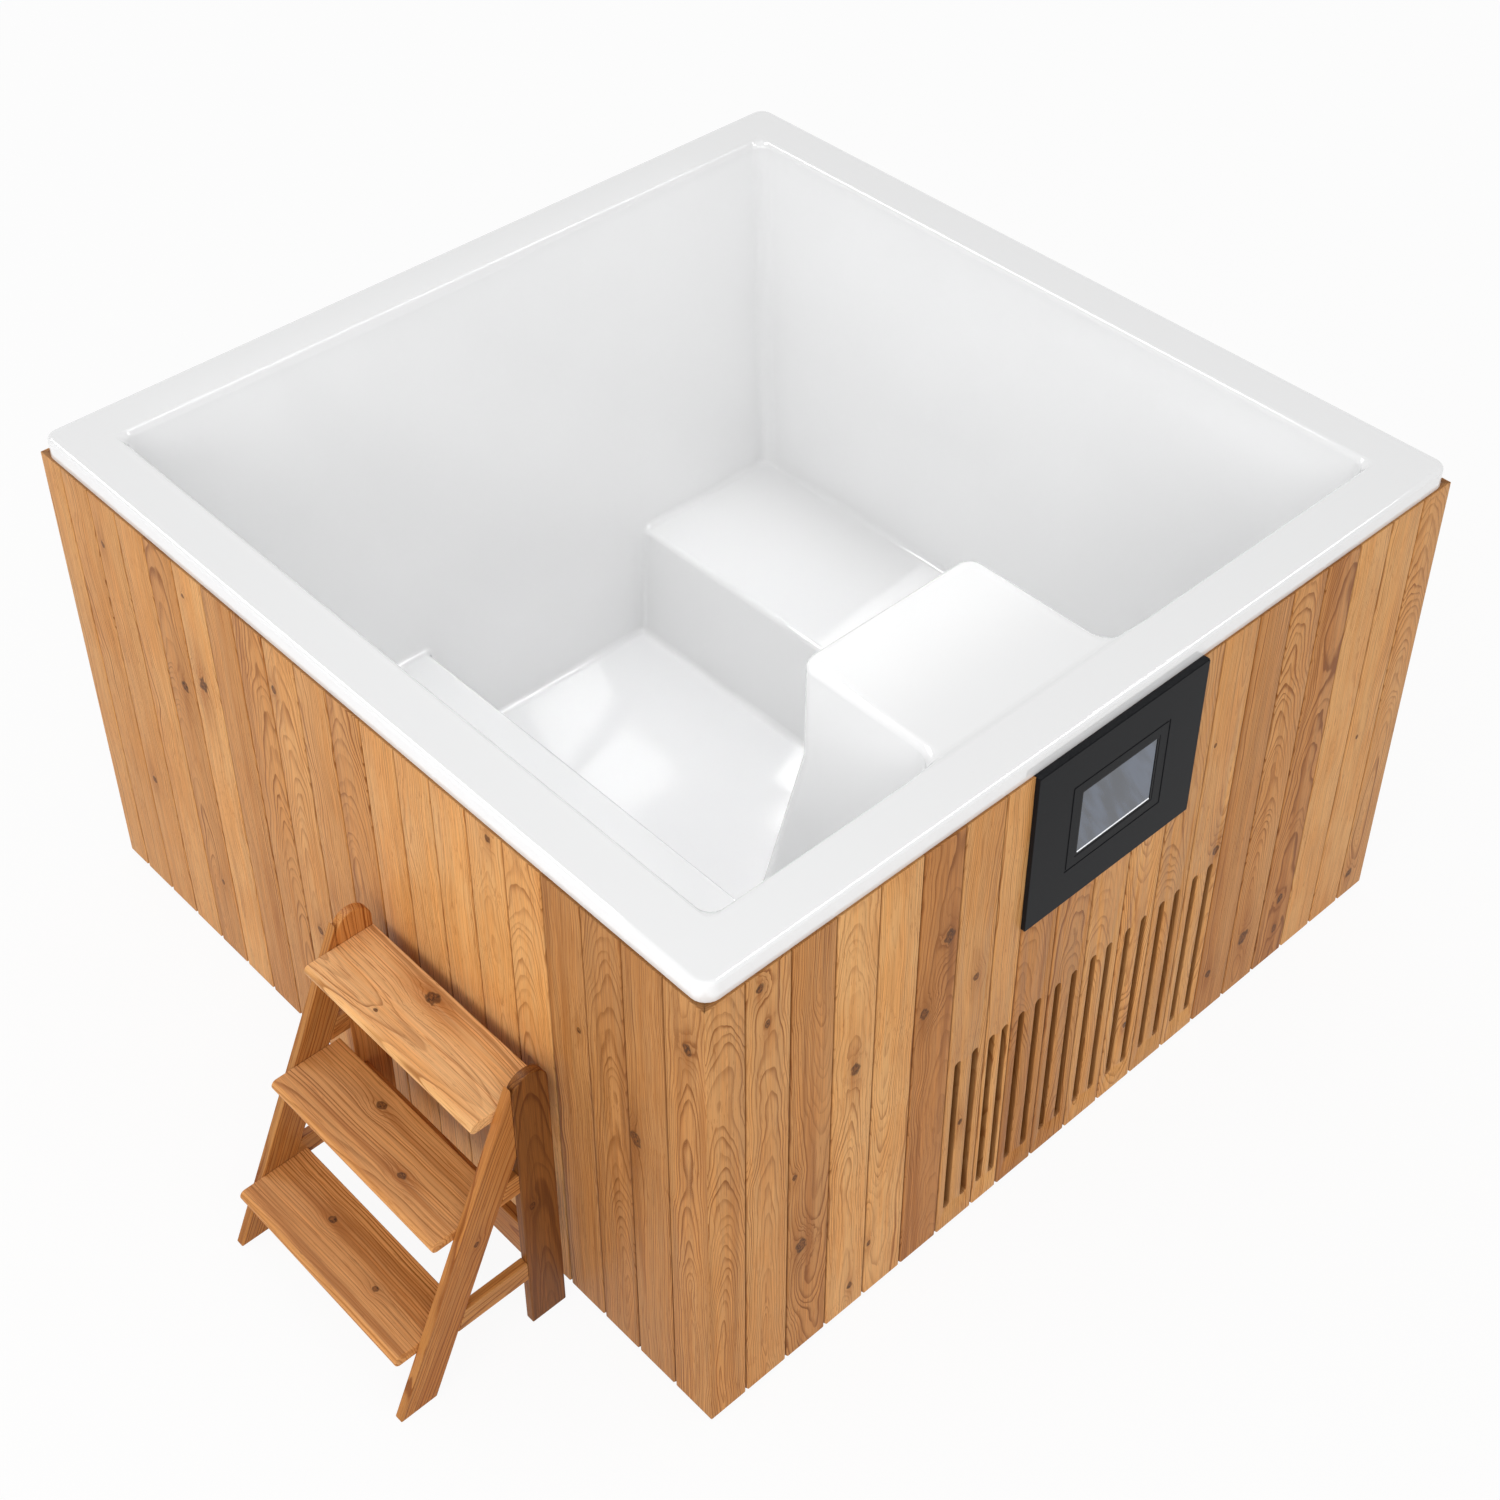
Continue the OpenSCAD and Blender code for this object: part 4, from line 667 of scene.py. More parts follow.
def board_finish(name, light, dark, ring=3.7, contrast=1.0, height=920, joint_darkening_and_shade=0.55, wander=1.0):
    """Softwood by its own grain: rings round a pith that wanders, fibres, knots and a tone for each board.

    ring is a year's growth and height the boards' length, both in mm; the share after height darkens the
    chamfers, partly the joints' own colour and partly painted shade, and paints shade on the sides of slots
    and joints.
    """
    f = Finish(name)
    grain = f.vector("SCALE", f.attribute("grain"), scale=1 / MM)
    u, depth, w = f.split(grain)
    pith = f.split(f.attribute("pith"))
    tone, hue, seed = f.split(f.attribute("stock"))
    seed = f.mul(seed, 900.0)
    shift = f.join(seed, seed, seed)

    def grown(x, z, detail, rough, out="Factor"):
        """Noise at one scale across and another along the board, different on each board."""
        stretched = f.vector("MULTIPLY", grain, (x, x, z))
        return f.noise(f.vector("ADD", stretched, shift), 1.0, detail, rough, out=out)

    # The trunk's wander along the board
    bent = grain
    for x, z, reach in ((0.004, 0.0034, (44.0, 46.0, 0.0)), (0.03, 0.010, (7.0, 6.0, 0.0))):
        sway = f.vector("SUBTRACT", grown(x, z, 2.0, 0.5, "Color"), (0.5, 0.5, 0.5))
        bent = f.vector("ADD", bent, f.vector("MULTIPLY", sway, times(reach, wander)))
    # Knots push the grain aside
    swell = core = bark = flame = 0.0
    rough_edge = f.mul(f.sub(grown(0.12, 0.08, 2.0, 0.45), 0.5), 1.5)
    streak = grown(0.11, 0.0022, 3.0, 0.55)
    for which in ("knot", "twig"):
        at = f.split(f.attribute(which))
        size = f.most(at[2], 0.01)
        across, along = f.sub(u, at[0]), f.sub(w, at[1])
        ratio = f.add(f.div(f.length_of(across, f.mul(along, 0.72)), size), rough_edge)
        pull = f.bell(f.mul(ratio, 0.34))
        bent = f.vector("ADD", bent, f.join(f.mul(f.mul(across, pull), -0.8), 0.0, 0.0))
        swell = f.add(swell, f.mul(pull, f.mul(size, 1.3)))
        core = f.most(core, f.ramp(ratio, 1.0, 0.72))
        bark = f.most(bark, f.mul(f.ramp(ratio, 1.25, 0.95), f.ramp(ratio, 0.6, 0.9)))
        tail = f.length_of(f.div(across, f.mul(size, 2.3)), f.div(along, f.mul(size, 9.0)))
        flame = f.most(flame, f.mul(f.bell(tail), f.ramp(size, 2.0, 5.0)))
    # Rings
    bend = f.split(bent)
    du = f.sub(bend[0], pith[0])
    lean = f.mul(f.sub(w, height / 2), pith[2])
    dv = f.sub(f.sub(bend[1], pith[1]), lean)
    radius = f.add(f.length_of(du, dv), swell)
    radius = f.add(radius, f.mul(grown(0.02, 0.005, 2.0, 0.5), 7.0 * wander))
    uneven = f.node("ShaderNodeTexNoise", {"noise_dimensions": "1D"}, Scale=1.0, Detail=2.0,
                    W=f.math("MULTIPLY_ADD", radius, 0.05, seed)).outputs[0]
    phase = f.add(f.div(radius, ring), f.mul(uneven, 3.0))
    year = f.math("FRACT", phase)
    late = f.mul(f.math("POWER", f.ramp(year, 0.36, 0.92), 1.7), f.ramp(year, 1.0, 0.92))
    each = f.node("ShaderNodeTexWhiteNoise", {"noise_dimensions": "1D"},
                  W=f.add(f.math("FLOOR", phase), seed))
    late = f.mul(late, f.ramp(each.outputs["Value"], 0.0, 1.0, 0.35, 1.1))
    late = f.mul(late, f.ramp(grown(0.012, 0.003, 2.0, 0.5), 0.35, 0.65, 0.55, 1.1))
    late = f.mul(late, f.ramp(f.math("ABSOLUTE", du), 0.0, 7.0, 0.6, 1.0))
    late = f.mul(late, f.ramp(hue, 0.0, 0.6, 0.8, 1.15))
    # Fibres, slow colour, resin flecks, veins and dark bands
    fibre = grown(0.62, 0.008, 3.0, 0.62)
    cloud = grown(0.016, 0.005, 3.0, 0.6)
    fleck = f.ramp(grown(0.42, 0.045, 2.0, 0.5), 0.66, 0.74)
    vein = f.noise(f.vector("ADD", f.vector("MULTIPLY", bent, (0.48, 0.48, 0.0042)), shift), 1.0, 3.0, 0.6)
    band = f.mul(f.ramp(grown(0.055, 0.0016, 3.0, 0.55), 0.50, 0.66), f.ramp(hue, 0.1, 0.9, 0.12, 0.62))
    warm = tuple(c * k for c, k in zip(light, (0.94, 0.84, 0.70)))
    deep = tuple(c * k for c, k in zip(light, (0.80, 0.58, 0.38)))
    base = f.mix(f.ramp(f.add(f.mul(cloud, 0.6), f.mul(streak, 0.4)), 0.40, 0.60), light, warm)
    base = f.mix(f.mul(hue, 0.85), base, deep)
    base = f.mix(band, base, times(dark, 1.25))
    base = f.mix(f.mul(flame, f.ramp(streak, 0.35, 0.65, 0.35, 0.8)), base, times(dark, 1.1))
    base = f.mix(f.mul(late, 0.98 * contrast, clamp=True), base, dark)
    base = f.mix(f.mul(fleck, 0.35), base, times(dark, 0.8))
    base = f.mix(f.mul(f.ramp(vein, 0.54, 0.70), 0.6 * contrast, clamp=True), base, times(dark, 1.2))
    shade = f.math("MULTIPLY_ADD", fibre, 0.84, f.mul(streak, 0.34))
    shade = f.add(f.math("MULTIPLY_ADD", tone, 0.42, shade), 0.26)
    base = f.mix(1.0, base, f.join(shade, shade, shade), "MULTIPLY")
    # Knot: dark bark ring, brown core
    brown = f.mix(f.ramp(grown(0.34, 0.22, 2.0, 0.5), 0.40, 0.66), times(dark, 0.85), times(dark, 0.12))
    base = f.mix(f.mul(core, 0.9), base, brown)
    base = f.mix(f.mul(bark, 0.7), base, times(dark, 0.25))
    # Darker chamfers, partly the joints' own colour and partly painted shade, and painted shade deeper in on
    # the sides of slots and joints
    base = f.mix(f.mul(f.ramp(depth, 0.2, 2.3), joint_darkening_and_shade), base, times(dark, 0.5))
    base = f.mix(f.mul(f.ramp(depth, 2.0, 14.0), joint_darkening_and_shade), base, times(dark, 0.35))
    f.bump(f.sub(f.mul(fibre, 0.5), f.mul(late, 0.5)), 0.0002, 0.4)
    return f.surface(Base_Color=base, Roughness=f.math("MULTIPLY_ADD", fibre, 0.16, 0.42), IOR=1.45,
                     Specular_IOR_Level=0.18)


def store(mesh, name, values):
    """Writes one vector for each point of the mesh."""
    layer = mesh.attributes.new(name, "FLOAT_VECTOR", "POINT")
    layer.data.foreach_set("vector", [c for v in values for c in v])


# ---------------------------------------------------------------- cladding

HALF = 800
BOARD_T = 20
BOARD_FOOT = 6
TONGUE_L, TONGUE_T = 6, 5
PITCH = 81.1
EDGE_BOARD = 71
# The front's ripped board, and how many full boards stand on its left and right between the edge boards
RIPPED_X, RIPPED_W = -240.5, 58.6
FULL_LEFT, FULL_RIGHT = 6, 11
# Front boards with two vent slots each, the slots' distance from a board's middle, and their eased edge
SLOTTED, RIPPED = range(6, 14), 7
SLOT_OFF, RIPPED_SLOT_OFF, SLOT_EASE = 19, 14.4, 0.8
FASCIA_Z = 765
BOX_HALF_W, BOX_HALF_H = 88, 60
# Cutters reach from before a wall's face to behind its boards
CUT_FRONT, CUT_BACK = -4, 24
# Holes in the right wall for the power inlet and the drain pipe: place along the wall, height, radius
RIGHT_HOLES = ((-620, 240, 28), (-300, 78, 18))
NO_KNOT = (0, -900, 0)


def front_joints():
    left = (RIPPED_X + HALF - EDGE_BOARD) / FULL_LEFT
    end = RIPPED_X + RIPPED_W
    right = (HALF - EDGE_BOARD - end) / FULL_RIGHT
    return ([-HALF] + [-HALF + EDGE_BOARD + i * left for i in range(FULL_LEFT + 1)]
            + [end + i * right for i in range(FULL_RIGHT + 1)] + [HALF])


def side_joints():
    """Joints from one corner on; a narrow rest goes to the last board."""
    n = math.ceil(2 * HALF / PITCH - 0.45)
    return [-HALF + i * PITCH for i in range(n)] + [HALF]


def board_outline(u0, u1, first, last, s):
    """Plan of a board between two joints, outer face on v = 0, in mm, with softened chamfers and corners."""
    c, e = s.chamfer / MM, u1 - (0 if last else s.gap / MM)
    t0 = (BOARD_T - TONGUE_T) / 2
    t1 = t0 + TONGUE_T
    k = c * 0.22
    corner = [(0.3, 1.0), (0.6, 0.3), (1.3, 0)]
    chamfer = [(0, c + k), (k * 0.4, c - k * 0.4), (c - k * 0.4, k * 0.4), (c + k, 0)]
    left = [(u0 + a, b) for a, b in (corner if first else chamfer)]
    right = [(e - a, b) for a, b in reversed(corner if last else chamfer)]
    right += [(e - BOARD_T - 0.3, BOARD_T)] if last else [
        (e, t0), (e + TONGUE_L, t0), (e + TONGUE_L, t1), (e, t1), (e, BOARD_T)]
    back = [(u0 + BOARD_T + 0.3, BOARD_T)] if first else [
        (u0, BOARD_T), (u0, t1 + 0.3), (u0 + TONGUE_L + 0.6, t1 + 0.3), (u0 + TONGUE_L + 0.6, t0 - 0.3),
        (u0, t0 - 0.3)]
    return left + right + back


def wall_mesh(joints, s):
    """Boards side by side along u, outer face towards -v, with a small notch at the foot of each joint."""
    last = len(joints) - 2
    outlines = [board_outline(u0, u1, i == 0, i == last, s)
                for i, (u0, u1) in enumerate(zip(joints, joints[1:]))]
    wall = prisms("boards", outlines, lambda u, v, end: (u, v, LIP_Z if end else BOARD_FOOT))
    n = s.notch / MM
    wedges = [[(u - n - 1, BOARD_FOOT - 1), (u + n + 1, BOARD_FOOT - 1), (u, BOARD_FOOT + n)]
              for u in joints[1:-1]]
    notches = prisms("notches", wedges, lambda x, z, end: (x, CUT_BACK if end else CUT_FRONT, z))
    return carve(wall, notches)


def slot_cutter(bm, x, half_w, low, high):
    """Cutter for one slot, wider at the face so the slot's edge is eased."""
    rings = []
    for y, grow in ((-HALF + CUT_FRONT, SLOT_EASE), (-HALF - 0.01, SLOT_EASE), (-HALF + SLOT_EASE, 0),
                    (-HALF + CUT_BACK, 0)):
        r = half_w + grow
        outline = arc(x, high - half_w, r, 0, 16) + arc(x, low + half_w, r, math.pi, 16)
        rings.append([bm.verts.new(Vector((a, y, b)) * MM) for a, b in outline])
    skin(bm, rings)
    bm.faces.new(rings[0][::-1])
    bm.faces.new(rings[-1])


def through(u, z):
    """Places a hole's outline on the front, round a point given in mm."""
    return lambda a, b, end: (u + a, -HALF + (CUT_BACK if end else CUT_FRONT), z + b)


def front_cutters(joints, s):
    """All holes of the front in one mesh: slots and the opening for the screen's housing."""
    bm = bmesh.new()
    for i in SLOTTED:
        off = RIPPED_SLOT_OFF if i == RIPPED else SLOT_OFF
        for side in (-off, off):
            slot_cutter(bm, (joints[i] + joints[i + 1]) / 2 + side, s.slot_w / MM / 2, s.slot_low / MM,
                        s.slot_high / MM)
    w, h = BOX_HALF_W, BOX_HALF_H
    extrude(bm, [(-w, -h), (w, -h), (w, h), (-w, h)], through(0, FASCIA_Z))
    return close_solid(bm, "cutters")


def hole_cutters(holes):
    """Round holes through a wall: for each its place along the wall, its height and its radius, in mm."""
    bm = bmesh.new()
    for u, z, r in holes:
        extrude(bm, arc(0, 0, r, 0, 48, 2 * math.pi)[:-1], through(u, z))
    return close_solid(bm, "holes")


def islands(mesh):
    """Groups of points that hang together."""
    parent = list(range(len(mesh.vertices)))

    def root(i):
        while parent[i] != i:
            parent[i] = parent[parent[i]]
            i = parent[i]
        return i

    for e in mesh.edges:
        a, b = root(e.vertices[0]), root(e.vertices[1])
        if a != b:
            parent[a] = b
    groups = {}
    for i in range(len(mesh.vertices)):
        groups.setdefault(root(i), []).append(i)
    return list(groups.values())


# Boards that are told apart: pale 1 to dark 0, brown 1 to tan 0, pith across, pith depth, lean of the pith
FRONT_LOOKS = (
    (0.45, 0.45, -8, 40, 0.10), (0.55, 0.30, 2, 22, 0.05), (0.35, 0.60, 16, 34, -0.07),
    (0.85, 0.05, -6, 24, 0.05), (0.85, 0.02, -12, 22, -0.06), (0.25, 0.95, 30, 60, 0.05),
    (0.60, 0.30, 60, 20, 0.04), (0.80, 0.05, 70, 10, 0.02), (0.30, 0.75, -22, 40, 0.12),
    (0.40, 0.60, 12, 50, 0.08), (0.70, 0.20, -16, 34, 0.10), (0.80, 0.12, 2, 26, -0.09),
    (0.55, 0.30, -18, 44, 0.11), (0.75, 0.20, 24, 30, -0.05), (0.40, 0.60, 70, 16, 0.03),
    (0.60, 0.45, -10, 36, 0.13), (0.40, 0.70, 20, 80, 0.05), (0.90, 0.02, 80, 10, 0.02),
    (0.85, 0.08, 60, 40, 0.03), (0.70, 0.25, -4, 34, 0.14))
LEFT_LOOKS = (
    (0.15, 0.45, 0, 24, 0.05), (0.0, 0.60, 70, 10, 0.03), (-0.05, 0.65, -14, 40, 0.11),
    (0.05, 0.65, 60, 30, 0.04), (0.75, 0.15, 10, 28, 0.10), (0.80, 0.05, -6, 20, 0.04),
    (0.85, 0.05, 80, 10, 0.03), (0.75, 0.15, 60, 30, 0.05), (0.80, 0.15, 70, 20, 0.02),
    (0.45, 0.55, 14, 30, 0.08), (0.60, 0.40, 50, 30, 0.05), (0.70, 0.25, 2, 26, 0.06),
    (0.50, 0.50, -22, 34, 0.09), (0.50, 0.50, 70, 20, 0.04), (0.90, 0.05, 60, 20, 0.03),
    (0.45, 0.55, 16, 36, 0.10), (0.75, 0.25, 70, 30, 0.04), (0.70, 0.30, 60, 20, 0.05),
    (0.65, 0.35, 50, 40, 0.06), (0.75, 0.20, 80, 20, 0.03))
# Knots: place along the wall, height, radius
FRONT_KNOTS = (
    (-705, 890, 6), (-691, 812, 5), (-622, 263, 10), (-637, 438, 4), (-522, 578, 8), (-527, 485, 4),
    (-342, 715, 9), (-385, 585, 8), (-276, 580, 6), (-285, 255, 5), (116, 155, 5), (300, 435, 7),
    (342, 105, 6), (432, 130, 11), (530, 155, 7), (530, 80, 6), (675, 445, 3), (752, 60, 7),
    (-140, 450, 0), (-516, 60, 5), (248, 700, 3), (-477, 130, 4))
LEFT_KNOTS = (
    (-767, 820, 7), (-652, 530, 10), (158, 825, 5), (136, 315, 6), (383, 687, 10), (448, 642, 8),
    (396, 862, 3), (450, 185, 4), (640, 820, 4), (636, 300, 5), (-364, 900, 5), (-540, 660, 4))


def random_look(rng):
    """Tone, brown, and a pith that lies under the board for arched grain or beside it for straight grain."""
    arched = rng.random() < 0.6
    return (rng.random(), rng.random() * 0.8,
            rng.uniform(-22, 22) if arched else rng.choice((-1, 1)) * rng.uniform(50, 90),
            rng.uniform(18, 44), rng.choice((-1, 1)) * rng.uniform(0.03, 0.12))


def random_knots(rng, joints):
    return [(u + rng.uniform(12, 68), rng.uniform(60, 880), rng.choice((3, 4, 5, 7, 9)))
            for u in joints[:-1] for _ in range(2) if rng.random() < 0.6]


def board_looks(joints, rng, looks=(), knots=()):
    """For each board its stock (tone, brown, seed), its pith and its two largest knots from its middle."""
    knots = knots or random_knots(rng, joints)
    boards = []
    for i, (u0, u1) in enumerate(zip(joints, joints[1:])):
        look = looks[i] if i < len(looks) else random_look(rng)
        mine = sorted((k for k in knots if u0 < k[0] < u1), key=lambda k: -k[2])
        mine = [(k[0] - (u0 + u1) / 2, *k[1:]) for k in mine] + [NO_KNOT, NO_KNOT]
        boards.append({"stock": (look[0], look[1], rng.random()), "pith": look[2:], "knot": mine[0],
                       "twig": mine[1]})
    return boards


def mark_boards(mesh, joints, boards):
    """Gives each board its own grain coordinates, before the wall is turned into place."""
    marks = {name: [None] * len(mesh.vertices) for name in ("grain", "stock", "pith", "knot", "twig")}
    middles = [(u0 + u1) / 2 for u0, u1 in zip(joints, joints[1:])]
    for group in islands(mesh):
        xs = [mesh.vertices[i].co.x / MM for i in group]
        mid = (min(xs) + max(xs) - TONGUE_L) / 2
        k = min(range(len(boards)), key=lambda i: abs(middles[i] - mid))
        for i in group:
            co = mesh.vertices[i].co
            marks["grain"][i] = (co.x - middles[k] * MM, co.y + HALF * MM, co.z)
            for name, value in boards[k].items():
                marks[name][i] = value
    for name, values in marks.items():
        store(mesh, name, values)
    return mesh


def cladding_mesh(s, joints, boards, cutters=None):
    """A wall of boards with its holes, where the front stands."""
    mesh = wall_mesh(joints, s)
    mesh.transform(Matrix.Translation((0, -HALF * MM, 0)))
    if cutters:
        mesh = carve(mesh, cutters)
    return smooth(mark_boards(mesh, joints, boards), 50)


# ---------------------------------------------------------------- stool

STILE_FOOT, STILE_LEAN, STILE_W = -1137.55, 0.4496, 66
LEG_FRONT, LEG_BACK, LEG_ARCH_Z = -887, -822, 532.5
FRAME_T = 16
FRAMES_Y = (-489, -70)
TREAD_Y, TREAD_L = -472.8, 402.6
TREAD_TOPS, TREAD_NOSES = (128, 321.5, 515), (-1124, -1037, -950)
TREAD_D, TREAD_T = 128, 20
BRACES_Z, BRACE_H = (113, 326), 39
RAILS_Z, RAIL_H, RAIL_X0, RAIL_T = (158, 420), 74.8, -885, 18
# Hair's breadth between planks that meet, in mm
FIT = 0.2
# As for the boards: tone, brown, pith across, pith depth, lean
STILE_LOOKS = ((0.60, 0.6, 46, 20, 0.03), (0.55, 0.4, -50, 16, 0.03))
# Painted shade: the first leg's tone lies far below 0, for its browner wood and for the shade that leg stands
# in
LEG_LOOKS_AND_SHADE = ((-0.70, 1.1, 2, 24, 0.09), (1.1, 0.4, -50, 20, 0.03))
TREAD_LOOKS = ((0.55, 0.95, -70, 24, 0.02), (0.60, 0.90, -56, 20, 0.04), (0.74, 0.10, -30, 34, -0.06))
TREAD_KNOTS = (((14, 262, 5), (-12, 118, 4)), ((34, 252, 6), (-20, 128, 5)), ((40, 224, 9), (-34, 262, 3)))
STOOL_SEED = 5


def stool_plank(outline, y, t, edge):
    """A plank with its outline in x and z, as thick as t along Y, with rounded edges."""
    return rounded(plank(outline, lambda x, z, d: (x, y + d, z), t), edge)


def grain_of(mesh, origin, axes, look, knots, rng):
    """Writes the grain of one plank: where it starts, its axes (across, into, along) and how it was cut."""
    knots = (*knots, NO_KNOT, NO_KNOT)
    axes = [Vector(a).normalized() for a in axes]
    start = Vector(origin) * MM
    store(mesh, "grain", [[(v.co - start).dot(a) for a in axes] for v in mesh.vertices])
    for name, value in (("stock", (look[0], look[1], rng.random())), ("pith", look[2:]), ("knot", knots[0]),
                        ("twig", knots[1])):
        store(mesh, name, [value] * len(mesh.vertices))
    return mesh


def stiles(s, rng):
    meet, back = LEG_FRONT - FIT, STILE_FOOT + STILE_W
    outline = [(STILE_FOOT, 0), (back, 0), (meet, (meet - STILE_FOOT - STILE_W) / STILE_LEAN),
               (meet, (meet - STILE_FOOT) / STILE_LEAN)]
    for y, look in zip(FRAMES_Y, STILE_LOOKS):
        mesh = stool_plank(outline, y, FRAME_T, s.edge)
        axes = ((1, 0, -STILE_LEAN), Y, (STILE_LEAN, 0, 1))
        knots = ((rng.uniform(-20, 20), rng.uniform(60, 400), 4),)
        yield grain_of(mesh, (STILE_FOOT + STILE_W / 2, y, 0), axes, look, knots, rng)


def legs(s, rng):
    mid = (LEG_FRONT + LEG_BACK) / 2
    outline = [(LEG_FRONT, 0), (LEG_BACK, 0), *arc(mid, LEG_ARCH_Z, (LEG_BACK - LEG_FRONT) / 2, 0, 24)]
    for y, look in zip(FRAMES_Y, LEG_LOOKS_AND_SHADE):
        mesh = stool_plank(outline, y, FRAME_T, s.edge)
        knots = ((rng.uniform(-15, 15), rng.uniform(100, 480), 5),)
        yield grain_of(mesh, (mid, y, 0), (X, Y, Z), look, knots, rng)


def treads(s, rng):
    r = TREAD_T / 2
    for nose, top, look, knots in zip(TREAD_NOSES, TREAD_TOPS, TREAD_LOOKS, TREAD_KNOTS):
        outline = [*arc(nose + r, top - r, r, math.pi / 2, 14), (nose + TREAD_D, top - TREAD_T),
                   (nose + TREAD_D, top)]
        mesh = stool_plank(outline, TREAD_Y, TREAD_L, s.edge)
        yield grain_of(mesh, (nose + TREAD_D / 2, TREAD_Y, top), (X, (0, 0, -1), Y), look, knots, rng)


def braces(s, rng):
    for y in FRAMES_Y:
        for z in BRACES_Z:
            front = [STILE_FOOT + STILE_W + STILE_LEAN * h + 0.3 for h in (z, z + BRACE_H)]
            outline = [(front[0], z), (LEG_FRONT - FIT, z), (LEG_FRONT - FIT, z + BRACE_H),
                       (front[1], z + BRACE_H)]
            mesh = stool_plank(outline, y, FRAME_T, s.edge * 0.6)
            look = (rng.uniform(0.4, 0.8), rng.uniform(0.2, 0.6), rng.uniform(-30, 30), 30, 0.05)
            yield grain_of(mesh, (LEG_FRONT, y, z + BRACE_H / 2), (Z, Y, (-1, 0, 0)), look, (), rng)


def rails(s, rng):
    back = RAIL_X0 + RAIL_T
    for z in RAILS_Z:
        outline = [(RAIL_X0, z), (back, z), (back, z + RAIL_H), (RAIL_X0, z + RAIL_H)]
        mesh = stool_plank(outline, TREAD_Y, TREAD_L, s.edge)
        look = (0.5, 0.4, rng.uniform(-20, 20), 34, 0.06)
        knots = ((10, rng.uniform(80, 300), 5),)
        yield grain_of(mesh, (RAIL_X0, TREAD_Y, z + RAIL_H / 2), (Z, X, Y), look, knots, rng)


# ---------------------------------------------------------------- control panel

# Half widths and half heights round the screen's middle, widths across and places in y, in mm
PANEL_HALF_W, PANEL_HALF_H = 185, 153
PANEL_FACE, PANEL_BACK = -808, -800
RETURN_FRONT, RETURN_BACK, RETURN_T, RETURN_CLEAR = -807, -795.5, 0.7, 0.05
OPENING_W, OPENING_H = 78, 58
RECESS_W, RECESS_H, RECESS_T = 86.5, 66, 3.5
GROOVE_W, GROOVE_H, GROOVE_ACROSS = 105.5, 84, 3.2
BEZEL_W, BEZEL_H, BEZEL_ACROSS = 86.4, 65.9, 4.7
BEZEL_FACE, SCREEN_FACE, SEAT = -807.4, -806.4, -804.6
SCREEN_W, SCREEN_H = 81.5, 61
HIGHLIGHT_STRIP_H = 2.2
BEZEL_CORNER, SCREEN_CORNER = 1.2, 0.6


def inset(half_w, half_h, *steps):
    """Rings of a frame's profile: each (step, y) lies that far inside the half width and the half height."""
    return [(half_w - step, half_h - step, y) for step, y in steps]


def ring_points(half_w, half_h, y, corner):
    """A rectangle round the screen's middle with rounded corners, in the XZ plane."""
    quarter = math.pi / 2
    points = []
    for k, (sx, sz) in enumerate(((1, 1), (-1, 1), (-1, -1), (1, -1))):
        at = (sx * (half_w - corner), FASCIA_Z + sz * (half_h - corner))
        points += [Vector((x, y, z)) * MM for x, z in arc(*at, corner, quarter * k, 4, quarter)]
    return points


def moulding(profile, closed, corner):
    """Skins a frame from rings (half width, half height, y), or a lid when it isn't closed."""
    bm = bmesh.new()
    rings = [[bm.verts.new(p) for p in ring_points(w, h, y, corner)] for w, h, y in profile]
    skin(bm, rings + rings[:1] if closed else rings)
    if not closed:
        bm.faces.new(rings[0])
        bm.faces.new(rings[-1])
    return weighted(smooth(close_solid(bm, "moulding"), 35))


def fascia_mesh(s):
    e, g = s.edge / MM, s.groove / MM
    wall, floor = GROOVE_ACROSS / 2, PANEL_FACE + RECESS_T
    plate = moulding([
        *inset(PANEL_HALF_W, PANEL_HALF_H, (0, PANEL_BACK), (0, PANEL_FACE + e),
               (0.3 * e, PANEL_FACE + 0.3 * e), (e, PANEL_FACE)),
        *inset(GROOVE_W, GROOVE_H, (-wall - 0.25, PANEL_FACE), (-wall, PANEL_FACE + g),
               (wall, PANEL_FACE + g), (wall + 0.25, PANEL_FACE)),
        *inset(RECESS_W, RECESS_H, (-0.5, PANEL_FACE), (0, PANEL_FACE + 0.5), (0, floor)),
        *inset(OPENING_W, OPENING_H, (0, floor), (0, PANEL_BACK))], True, s.corner / MM)
    # Narrow return that closes the ledge of the boards' tops under the rim; its dark coating there also
    # paints the shadow line under the rim
    low, high = LIP_Z + RETURN_CLEAR, LIP_Z + RETURN_T
    outline = [(RETURN_FRONT, low), (RETURN_BACK, low), (RETURN_BACK, high), (RETURN_FRONT, high)]
    half = PANEL_HALF_W - 0.5
    return join_meshes([plate, plank(outline, lambda y, z, d: (d - half, y, z), 2 * half)], "panel_plate")


def bezel_mesh():
    inner = BEZEL_ACROSS
    profile = inset(BEZEL_W, BEZEL_H, (0, SEAT), (0, BEZEL_FACE + 0.4), (0.4, BEZEL_FACE),
                    (inner - 0.8, BEZEL_FACE), (inner, BEZEL_FACE + 0.8), (inner, SEAT))
    return moulding(profile, True, BEZEL_CORNER)


def screen_mesh():
    profile = inset(SCREEN_W, SCREEN_H, (0, SEAT), (0, SCREEN_FACE + 0.3), (0.3, SCREEN_FACE))
    return moulding(profile, False, SCREEN_CORNER)


